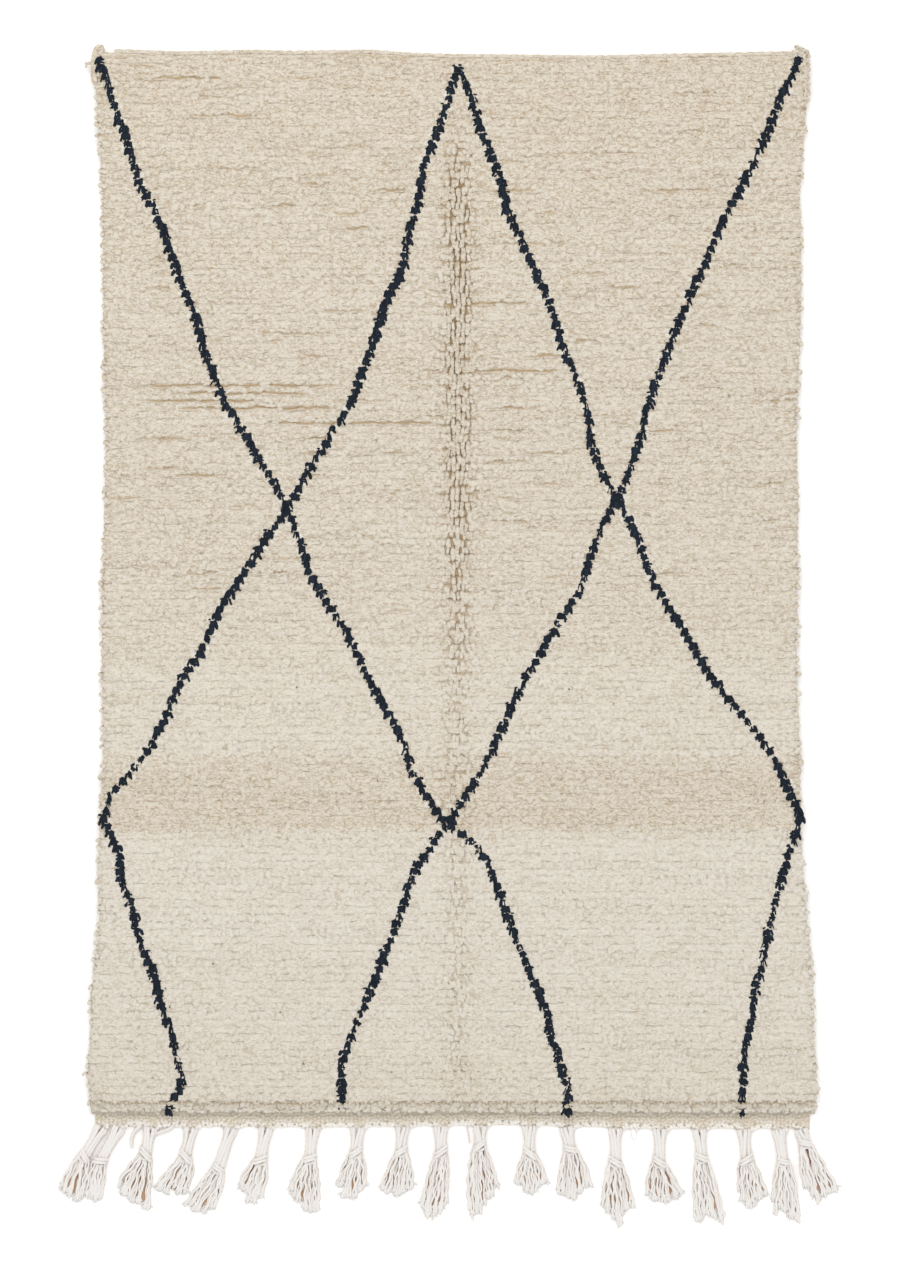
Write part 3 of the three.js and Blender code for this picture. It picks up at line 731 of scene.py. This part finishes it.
def band_hollows():
    """Coarse weft ribs of beige wool, with painted shade in the hollows between them."""
    material, tree, shader = fabric_finish("band_hollows", 0.1)
    place = add_node(tree, "TexCoord", "Object")
    stretch = add_node(tree, "Mapping", "Vector", {"Vector": place, "Scale": (1.0, 2.4, 1.0)})
    slubs = add_node(tree, "TexNoise", "Fac", {"Vector": stretch, "Scale": 330.0, "Detail": 3.0})
    # the colour darkens with the bump's hollows: painted shade
    colour = colour_ramp(tree, slubs, (0.48, 0.39, 0.28), (0.66, 0.59, 0.48), 0.30, 0.58)
    bump = add_node(tree, "Bump", "Normal", {"Height": slubs, "Distance": 0.0008})
    feed(tree, shader, {"Base Color": colour, "Normal": bump})
    return material


band_form = bmesh.new()
bmesh.ops.create_grid(band_form, x_segments=400, y_segments=6, size=0.5)
for vertex in band_form.verts:
    x = band_left + (vertex.co.x + 0.5) * (band_right - band_left)
    along = vertex.co.y + 0.5
    outer = float(band_line(x))
    vertex.co = (x, outer + along * (tassel_end + 0.004 - outer), 0.0)
band_mesh = flat_weave("end_band", band_form, band_top)
show("end_band_weave", band_mesh, band_hollows(), "ground_weave", "end_band")

# The band's weft stitches, row over row, and the white twining along its edge
stitch_rows = [  # distance inside the edge, pitch, length and girth of a stitch, its slant, share of cotton
    (0.0014, 0.0052, 0.0080, 0.0027, 0.55, 1.0),
    (0.0046, 0.0054, 0.0080, 0.0026, -0.55, 0.90),
    (0.0074, 0.0058, 0.0068, 0.0019, 0.55, 0.45),
    (0.0098, 0.0056, 0.0066, 0.0019, -0.50, 0.25),
    (0.0122, 0.0057, 0.0068, 0.0019, 0.50, 0.10),
    (0.0150, 0.0052, 0.0066, 0.0019, -0.50, 0.05),
    (0.0178, 0.0056, 0.0068, 0.0019, 0.45, 0.0),
    (0.0206, 0.0052, 0.0066, 0.0019, -0.45, 0.0),
    (0.0232, 0.0052, 0.0066, 0.0019, 0.45, 0.0),
]
stitch_lifts = (0.0, 0.0006, 0.0006, 0.0)
stitch_parts = []
for inside, pitch, reach, stout, slant, white in stitch_rows:
    xs = np.arange(band_left + 0.002, band_right - 0.006, pitch)
    xs = xs + chance.uniform(-0.0008, 0.0008, len(xs))
    xs = xs[chance.uniform(0.0, 1.0, len(xs)) > 0.03]
    ys = band_line(xs) + inside + chance.normal(0.0, 0.0004, len(xs))
    ahead = math.pi / 2 + slant * chance.uniform(0.6, 1.4, len(xs))
    girth = stout * chance.uniform(0.85, 1.15, len(xs))
    laid = laid_locks(xs, ys, band_top, ahead, reach, girth, chance.normal(0.0, 0.0003, len(xs)), stitch_lifts)
    whites = np.clip(white + chance.normal(0.0, 0.10, (len(xs), 1)), 0.0, 1.0)
    # painted shade at each stitch's foot
    shades = {"tone": whites, "height": 0.35 + 0.65 * lock_foot_shade}
    stitch_parts.append((lock, laid, soft_facing(ahead, 0.7), shades))
# a short dark brown mark lies at each crossing of the twining
dot_x = np.arange(band_left + 0.006, band_right - 0.006, 0.0122)
dot_x = dot_x + chance.uniform(-0.003, 0.003, len(dot_x))
dot_y = band_line(dot_x) + 0.0044 + chance.normal(0.0, 0.0008, len(dot_x))
dot_turn = chance.uniform(0.4, 2.2, len(dot_x))
dots = laid_locks(dot_x, dot_y, 2.0 * band_top, dot_turn, 0.0042, 0.0011, 0.0, stitch_lifts)
stitch_parts.append((lock, dots, soft_facing(dot_turn, 0.5), {"tone": 0.0, "height": 0.15}))
mesh = copies("band_stitches", *stitch_parts)
band_yarn = pile_wool(
    "band_yarn", (0.42, 0.33, 0.22), (0.70, 0.64, 0.54), (0.82, 0.80, 0.765), sheen=0.1, stroke=0.7
)
show("band_stitches", mesh, band_yarn, "ground_weave")

# ---------------------------------------------------------------- tassels
# The cotton warps leave the band in nineteen bunches. Each bunch is drawn into a neck of a few thick
# bundles, tied over itself in a knot, and below the knot its cords spread over the floor with frayed ends.
tassels = np.array([  # the knot, then the left, middle and right of the cords' ends
    ((-0.513, -0.732), (-0.550, -0.776), (-0.526, -0.797), (-0.518, -0.784)),
    ((-0.491, -0.738), (-0.510, -0.785), (-0.497, -0.795), (-0.490, -0.785)),
    ((-0.427, -0.729), (-0.466, -0.773), (-0.447, -0.797), (-0.423, -0.811)),
    ((-0.371, -0.732), (-0.413, -0.776), (-0.389, -0.787), (-0.367, -0.776)),
    ((-0.325, -0.749), (-0.372, -0.801), (-0.357, -0.811), (-0.333, -0.809)),
    ((-0.266, -0.737), (-0.297, -0.773), (-0.281, -0.797), (-0.266, -0.791)),
    ((-0.197, -0.735), (-0.228, -0.780), (-0.204, -0.811), (-0.184, -0.808)),
    ((-0.132, -0.726), (-0.158, -0.770), (-0.144, -0.790), (-0.118, -0.776)),
    ((-0.069, -0.725), (-0.095, -0.774), (-0.075, -0.791), (-0.053, -0.773)),
    ((-0.013, -0.726), (-0.042, -0.805), (-0.024, -0.819), (-0.004, -0.802)),
    ((0.041, -0.717), (0.027, -0.805), (0.044, -0.816), (0.070, -0.777)),
    ((0.112, -0.728), (0.092, -0.766), (0.111, -0.785), (0.136, -0.766)),
    ((0.169, -0.722), (0.150, -0.785), (0.174, -0.790), (0.197, -0.773)),
    ((0.232, -0.740), (0.213, -0.802), (0.238, -0.827), (0.260, -0.806)),
    ((0.293, -0.740), (0.276, -0.784), (0.302, -0.799), (0.325, -0.784)),
    ((0.353, -0.734), (0.345, -0.816), (0.364, -0.822), (0.386, -0.818)),
    ((0.416, -0.737), (0.404, -0.787), (0.427, -0.802), (0.444, -0.785)),
    ((0.467, -0.739), (0.451, -0.806), (0.471, -0.813), (0.491, -0.827)),
    ((0.498, -0.713), (0.497, -0.777), (0.516, -0.796), (0.545, -0.784)),
])
cord_ends = [0.012, 0.035, 0.08, 0.92, 0.965, 0.988]  # a cord is round-ended before 0.08 and past 0.92
cord_middle = np.linspace(cord_ends[2], cord_ends[3], 18)
cord_steps = np.concatenate([[0.0], cord_ends[:2], cord_middle, cord_ends[4:], [1.0]])
cord_form = lock_form(6, cord_steps[1:-1])
cord_points = np.array([vertex.co for vertex in cord_form.vertices])
cord_station = np.argmin(np.abs(cord_points[:, 2:] - cord_steps), axis=1)
cord_angle = np.arctan2(cord_points[:, 1], cord_points[:, 0])
cord_hub = np.hypot(cord_points[:, 0], cord_points[:, 1]) < 1e-4


def laid_cords(paths, radius, turns, lobe):
    """Round cords of a few plies along paths (cords, stations, xyz): vertices, normals and a painted shade,
    darker on each cord's underside.
    """
    paths = np.array(paths)
    radius, turns = (np.broadcast_to(each, len(paths))[:, None] for each in (radius, turns))
    ahead = np.gradient(paths, axis=1)
    ahead /= np.linalg.norm(ahead, axis=2, keepdims=True)
    aside = np.cross((0.0, 0.0, 1.0), ahead)
    aside /= np.linalg.norm(aside, axis=2, keepdims=True)
    upward = np.cross(ahead, aside)
    swell = np.interp(cord_steps, [0.0, *cord_ends, 1.0], [0.0, 0.55, 0.85, 1.0, 1.0, 0.85, 0.55, 0.0])
    ply = 1.0 + lobe * np.cos(3.0 * cord_angle)
    width = np.where(cord_hub, 0.0, ply) * swell[cord_station] * radius
    angle = cord_angle + turns * 2.0 * math.pi * cord_steps[cord_station]
    aside, upward = aside[:, cord_station], upward[:, cord_station]
    outward = aside * np.cos(angle)[:, :, None] + upward * np.sin(angle)[:, :, None]
    points = paths[:, cord_station] + outward * width[:, :, None]
    facing = outward * np.where(cord_hub, 0.0, 0.65)[:, None]
    facing[:, :, 2] += 0.60
    facing /= np.linalg.norm(facing, axis=2, keepdims=True)
    # painted shade: each cord is darker on its underside and sides
    height = np.where(cord_hub, 0.9, np.clip((np.sin(angle) + 0.15) / 0.65, 0.0, 1.0))
    return points, facing, height


def tassel_place(origin, down, side, ahead, height):
    """Points so far aside and ahead of another, on a tassel that lies in the direction down."""
    side, ahead, height = (each[..., None] for each in np.broadcast_arrays(side, ahead, height))
    across = np.array([-down[1], down[0]])  # towards +X
    return np.concatenate([origin + across * side + down * ahead, height], axis=-1)


def spread_end(ends, share):
    """Where a cord ends on the floor, by its share of the tassel's spread, from -1 at the left to 1."""
    left, middle, right = ends
    return middle + (right - middle) * np.maximum(share, 0.0) + (left - middle) * np.maximum(-share, 0.0)


def bent(start, after, before, end):
    """A smooth bend from start to end, at the stations of the cord form."""
    t = cord_steps[:, None]
    return (1 - t) ** 3 * start + 3 * (1 - t) ** 2 * t * after + 3 * (1 - t) * t**2 * before + t**3 * end


def cotton():
    """Loose cotton cord: off-white, with warm shade low down between the cords and fine fibres."""
    material, tree, shader = fabric_finish("cotton_cord", 0.15)
    place = add_node(tree, "TexCoord", "Object")
    low = add_node(tree, "Attribute", "Fac", attribute_name="height")
    colour = colour_ramp(tree, low, (0.43, 0.25, 0.13), (0.70, 0.68, 0.66), 0.0, 0.75)
    fibres = add_node(tree, "TexNoise", "Fac", {"Vector": place, "Scale": 1200.0, "Detail": 3.0})
    bump = add_node(tree, "Bump", "Normal", {"Height": fibres, "Distance": 0.0004})
    feed(tree, shader, {"Base Color": colour, "Normal": bump})
    return material


cotton_cord = cotton()
floor_rest = 0.0002  # nothing of a tassel goes below this
neck_bundles, skirt_cords, skirt_clumps, shaded_cords, wisps_each = 6, 22, 7, 9, 5
knot_half = 0.0070  # half of a knot's width
knot_turns = 1.2
ply_lay = 0.012  # a ply goes a third of the way round its cord in this length
skirt_layers = (0.0017, 0.0042, 0.0064)  # how high the skirt's cords leave the knot
for number, (root, (knot, *ends)) in enumerate(zip(root_x, tassels), start=1):
    base = np.array([root, float(band_line(root))])
    neck_length = np.linalg.norm(knot - base)
    down = (knot - base) / neck_length
    across = np.array([-down[1], down[0]])
    paths, radius, turns = [], [], []
    # The neck's bundles come straight out of the band side by side, and turn a little about each other
    twist = chance.choice([-1.0, 1.0]) * chance.uniform(0.4, 1.1)
    ahead = -0.007 + cord_steps * (neck_length + 0.004)
    for bundle in range(neck_bundles):
        around = bundle * math.pi / 3 + chance.uniform(-0.2, 0.2)
        angle = around + twist * cord_steps
        flare = 0.0024 * math.cos(around) * np.exp(-np.maximum(ahead, 0.0) / 0.005)
        side, height = 0.0046 * np.cos(angle) + flare, 0.0052 + 0.0022 * np.sin(angle)
        paths.append(tassel_place(base, down, side, ahead, height))
        radius.append(0.0028 * chance.uniform(0.9, 1.1))
        turns.append(chance.uniform(0.8, 1.4))
    # The knot: wraps over the neck's end, and a loop that closes it below
    stout, slant = chance.uniform(0.9, 1.12), chance.choice([-1.0, 1.0]) * chance.uniform(0.4, 0.9)
    bow = np.linspace(-0.35, math.pi + 0.35, len(cord_steps))
    side, height = knot_half * stout * np.cos(bow), 0.0042 + 0.0062 * stout * np.sin(bow)
    for wrap in range(2):
        along = (wrap - 0.9) * 0.0044 * stout + slant * knot_half * np.cos(bow)
        paths.append(tassel_place(knot, down, side, along, height))
        radius.append(0.0025 * chance.uniform(0.9, 1.1))
        turns.append(knot_turns)
    bow = np.linspace(-1.35, 1.35, len(cord_steps)) + math.pi / 2
    paths.append(tassel_place(knot, down, 0.0066 * np.cos(bow), -0.001 + 0.0060 * np.sin(bow), 0.0066))
    radius.append(0.0026)
    turns.append(knot_turns)
    # The skirt swells out from behind the knot; its cords wave, cross and gather in clumps at their ends
    clump_share = np.linspace(-1.0, 1.0, skirt_clumps) + chance.uniform(-0.12, 0.12, skirt_clumps)
    clump_reach = chance.normal(0.0, 0.05, skirt_clumps)
    for cord in range(skirt_cords):
        share = -1.0 + 2.0 * cord / (skirt_cords - 1)
        nearest = int(np.argmin(np.abs(clump_share - share)))
        end_share = 0.45 * share + 0.55 * clump_share[nearest] + chance.normal(0.0, 0.07)
        tip = spread_end(ends, float(np.clip(end_share, -1.0, 1.0)))
        tip = tip + (tip - knot) * (clump_reach[nearest] + chance.normal(-0.03, 0.035))
        layer = skirt_layers[(cord * 2) % 3]
        beyond = tip - knot
        reach = np.linalg.norm(beyond)
        from_share = float(np.clip(share + chance.normal(0.0, 0.30), -1.0, 1.0))
        start = tassel_place(knot, down, from_share * 0.0060, -0.004, layer)
        after = tassel_place(knot, down, from_share * 0.0135, 0.20 * reach, layer + 0.0012)
        bulge_side = share * 0.0075 + chance.normal(0.0, 0.0018)
        bulge = tassel_place(knot + beyond * 0.60, down, bulge_side, 0.0, layer * 0.9 + 0.0003)
        path = bent(start, after, bulge, np.array([*tip, 0.0016]))
        waves = reach / chance.uniform(0.016, 0.028) * 2.0 * math.pi
        sway = 0.0011 * np.sin(waves * cord_steps + chance.uniform(0.0, 6.28))
        sway *= np.clip(3.0 * cord_steps, 0.0, 1.0)
        path[:, :2] += across * sway[:, None]
        paths.append(path)
        radius.append((0.0021 if layer == skirt_layers[0] else 0.0015) * chance.uniform(0.8, 1.2))
        turns.append(reach / ply_lay / 3.0)
    paths = np.array(paths)
    cords, facing, height = laid_cords(paths, radius, turns, 0.13)
    height *= np.clip((cords[:, :, 2] + 0.0020) / 0.0052, 0.0, 1.0)  # it is shady low down among the cords
    # Frayed ends: a few thin wisps past the end of each cord of the skirt
    wisps = wisps_each * skirt_cords
    wisp_x, wisp_y, wisp_z = np.repeat(paths[-skirt_cords:, -5], wisps_each, axis=0).T
    heading = paths[-skirt_cords:, -1] - paths[-skirt_cords:, -6]
    heading = np.repeat(np.arctan2(heading[:, 0], -heading[:, 1]), wisps_each)
    heading = heading + chance.normal(0.0, 0.42, wisps)
    wisp_length, wisp_width = chance.uniform(0.006, 0.012, wisps), chance.uniform(0.0005, 0.0011, wisps)
    frayed = laid_locks(
        wisp_x, wisp_y, wisp_z, heading, wisp_length, wisp_width, chance.normal(0.0, 0.001, wisps),
        (0.0, 0.0, -0.0002, -0.0004),
    )
    # The innermost cords lie flat on the floor, painted dark brown as the shade under the others
    inner = np.linspace(-0.85, 0.85, shaded_cords)[:, None]
    inner_starts = knot + across * inner * 0.0055 + down * 0.004
    inner_lie = (spread_end(ends, inner) - inner_starts) * 0.86
    inner_turn = np.arctan2(inner_lie[:, 0], -inner_lie[:, 1])
    inner_length = np.linalg.norm(inner_lie, axis=1)
    flat = (0.0, 0.0, 0.0, 0.0)
    shade_painted_cords = laid_locks(*inner_starts.T, 0.0009, inner_turn, inner_length, 0.0034, 0.0, flat, 0.0006)
    cords[:, :, 2] = np.maximum(cords[:, :, 2], floor_rest)
    frayed[:, :, 2] = np.maximum(frayed[:, :, 2], floor_rest)
    mesh = copies(
        f"tassel_cords_{number:02d}",
        (cord_form, cords, facing, {"height": height}),
        (lock, frayed, soft_facing(heading, 0.6), {"height": 0.9}),
        (lock, shade_painted_cords, soft_facing(inner_turn, 0.1), {"height": 0.10}),
    )
    show(mesh.name, mesh, cotton_cord, "cotton_cord", f"tassel_{number:02d}")


def through(points):
    """A smooth line through the points of a cord's lay, at the stations of the cord form."""
    line = np.array(points, float)
    for _ in range(3):
        near, far = line[:-1] * 0.75 + line[1:] * 0.25, line[:-1] * 0.25 + line[1:] * 0.75
        line = np.concatenate([line[:1], np.stack([near, far], axis=1).reshape(-1, 3), line[-1:]])
    run = np.concatenate([[0.0], np.cumsum(np.linalg.norm(np.diff(line, axis=0), axis=1))])
    return np.stack([np.interp(cord_steps * run[-1], run, line[:, k]) for k in range(3)], axis=1)


# Loose yarn ends that hang out of the band between the tassels
stray_lays = [
    [(-0.427, -0.683, 0.003), (-0.436, -0.690, 0.004), (-0.445, -0.700, 0.003), (-0.4475, -0.710, 0.003),
     (-0.445, -0.720, 0.003)],
    [(-0.432, -0.683, 0.003), (-0.440, -0.692, 0.005), (-0.446, -0.703, 0.0045), (-0.446, -0.714, 0.003)],
    [(-0.386, -0.686, 0.004), (-0.393, -0.692, 0.005), (-0.403, -0.6955, 0.004), (-0.413, -0.699, 0.003)],
    [(0.023, -0.684, 0.002), (0.024, -0.692, 0.002), (0.026, -0.702, 0.002), (0.0275, -0.713, 0.002)],
    [(0.253, -0.690, 0.001), (0.2545, -0.704, 0.001), (0.257, -0.709, 0.001), (0.261, -0.708, 0.001),
     (0.262, -0.699, 0.001), (0.259, -0.692, 0.001)],
    [(0.258, -0.690, 0.001), (0.260, -0.697, 0.001), (0.264, -0.696, 0.001), (0.266, -0.691, 0.001)],
]
stray_girths = [0.0019, 0.0017, 0.0024, 0.0010, 0.0004, 0.0004]
strays, facing, height = laid_cords([through(lay) for lay in stray_lays], stray_girths, 1.5, 0.13)
strays[:, :, 2] = np.maximum(strays[:, :, 2], floor_rest)
# the yarns carry painted shade on their undersides
mesh = copies("stray_yarns", (cord_form, strays, facing, {"height": height}))
show("stray_yarns", mesh, cotton_cord, "cotton_cord")

# ---------------------------------------------------------------- bound end
# The weaving starts at this end with a plain twined edge: two plies of wool that hold the first warps,
# stitched down where the edge was mended. A cord is sewn round each of its corners.
spans, bound_length = 12, 0.944
plies = []
for ply in range(2):
    for span in range(spans):
        x = -0.466 + (span - 0.06 + 1.12 * cord_steps) * bound_length / spans
        phase = x * 2 * math.pi / 0.030 + ply * math.pi
        ply_y = bound_line(x) - 0.0026 + 0.0008 * np.cos(phase)
        plies.append(np.stack([x, ply_y, 0.0138 + 0.0008 * np.sin(phase)], axis=1))
edge_plies, ply_facing, ply_underside_shade = laid_cords(plies, 0.0025, 2.0, 0.05)
mended = [
    through([(x - 0.0010, bound_line(x) - 0.0085, 0.0140), (x - 0.0004, bound_line(x) - 0.0020, 0.0158),
             (x + 0.0006, bound_line(x) + 0.0010, 0.0110), (x + 0.0010, bound_line(x) - 0.0010, 0.0080)])
    for x in (-0.162, -0.128, -0.088)
]
edge_stitches, stitch_facing, stitch_underside_shade = laid_cords(mended, 0.0012, 1.0, 0.1)
# the plies and the stitches carry painted shade on their undersides
mesh = copies(
    "bound_edge",
    (cord_form, edge_plies, ply_facing, {"tone": 0.42, "height": 0.5 + 0.5 * ply_underside_shade}),
    (cord_form, edge_stitches, stitch_facing, {"tone": 0.6, "height": stitch_underside_shade}),
)
show("bound_edge", mesh, cream_wool, "ground_weave", "top_binding")

# The thick soft cord round the left corner, with its tail of two thin ends
left_lays = [
    [(-0.4925, 0.8120, 0.0140), (-0.4885, 0.8155, 0.0140), (-0.4870, 0.8200, 0.0140),
     (-0.4890, 0.8240, 0.0140), (-0.4930, 0.8225, 0.0140), (-0.4968, 0.8170, 0.0140),
     (-0.4988, 0.8016, 0.0140), (-0.4984, 0.7819, 0.0140), (-0.4962, 0.7700, 0.0140)],
    [(-0.4980, 0.800, 0.0130), (-0.5030, 0.8010, 0.0130), (-0.5080, 0.8005, 0.0130), (-0.5115, 0.799, 0.0130)],
    [(-0.4990, 0.799, 0.0130), (-0.5040, 0.8005, 0.0135), (-0.5085, 0.7985, 0.0125), (-0.5105, 0.794, 0.0110)],
]
left_girths, left_turns = [0.0045, 0.0019, 0.0017], [3.5, 1.0, 1.0]
cords, facing, height = laid_cords([through(lay) for lay in left_lays], left_girths, left_turns, 0.10)
# the cords carry painted shade on their undersides
mesh = copies("left_corner_cord", (cord_form, cords, facing, {"tone": 0.3, "height": 0.4 + 0.6 * height}))
show("left_corner_cord", mesh, cream_wool, "wool_cord", "corner_cord_left")

# The knotted chain down the right corner: two plies round each other, with a knob at every few turns
chain_height = 0.0145
right_chain = [
    (0.4780, 0.8150), (0.4880, 0.8175), (0.4975, 0.8120), (0.4985, 0.7900), (0.4985, 0.7680), (0.4975, 0.7460),
]
strands = []
for ply in range(2):
    lay = through([(x, y, chain_height) for x, y in right_chain])
    phase = cord_steps * 2 * math.pi * 4.0 + ply * math.pi
    sideways = np.gradient(lay, axis=0)
    sideways = np.stack([sideways[:, 1], -sideways[:, 0]], axis=1)
    sideways /= np.linalg.norm(sideways, axis=1, keepdims=True)
    lay[:, :2] += sideways * (0.0013 * np.cos(phase))[:, None]
    lay[:, 2] += 0.0013 * np.sin(phase)
    strands.append(lay)
cords, facing, height = laid_cords(strands, 0.0021, 2.0, 0.1)
knob_at = np.array([
    (0.4850, 0.8225), (0.4895, 0.8205), (0.4945, 0.8190), (0.4990, 0.8160), (0.5010, 0.8105), (0.4995, 0.8040),
    (0.5005, 0.7980), (0.5010, 0.7915), (0.4995, 0.7850), (0.5000, 0.7790), (0.5010, 0.7700), (0.5005, 0.7640),
    (0.5010, 0.7580), (0.5000, 0.7490),
])
knob_x, knob_y = np.repeat(knob_at, 2, axis=0).T
knob_count = len(knob_x)
knob_turn = chance.uniform(0.2, 2.9, knob_count)
knob_x, knob_y = knob_x - 0.0036 * np.sin(knob_turn), knob_y + 0.0036 * np.cos(knob_turn)
knob_width = chance.uniform(0.0028, 0.0040, knob_count)
knobs = laid_locks(knob_x, knob_y, 0.0150, knob_turn, 0.0075, knob_width, 0.0, (0.0, 0.0012, 0.0012, 0.0))
knob_tone = chance.uniform(0.3, 0.8, (knob_count, 1))
# the plies carry painted shade on their undersides, the knobs at their feet
mesh = copies(
    "right_corner_chain",
    (cord_form, cords, facing, {"tone": np.array([[0.7], [0.4]]), "height": 0.4 + 0.6 * height}),
    (lock, knobs, soft_facing(knob_turn, 0.8), {"tone": knob_tone, "height": lock_foot_shade}),
)
show("right_corner_chain", mesh, cream_wool, "wool_cord", "corner_cord_right")
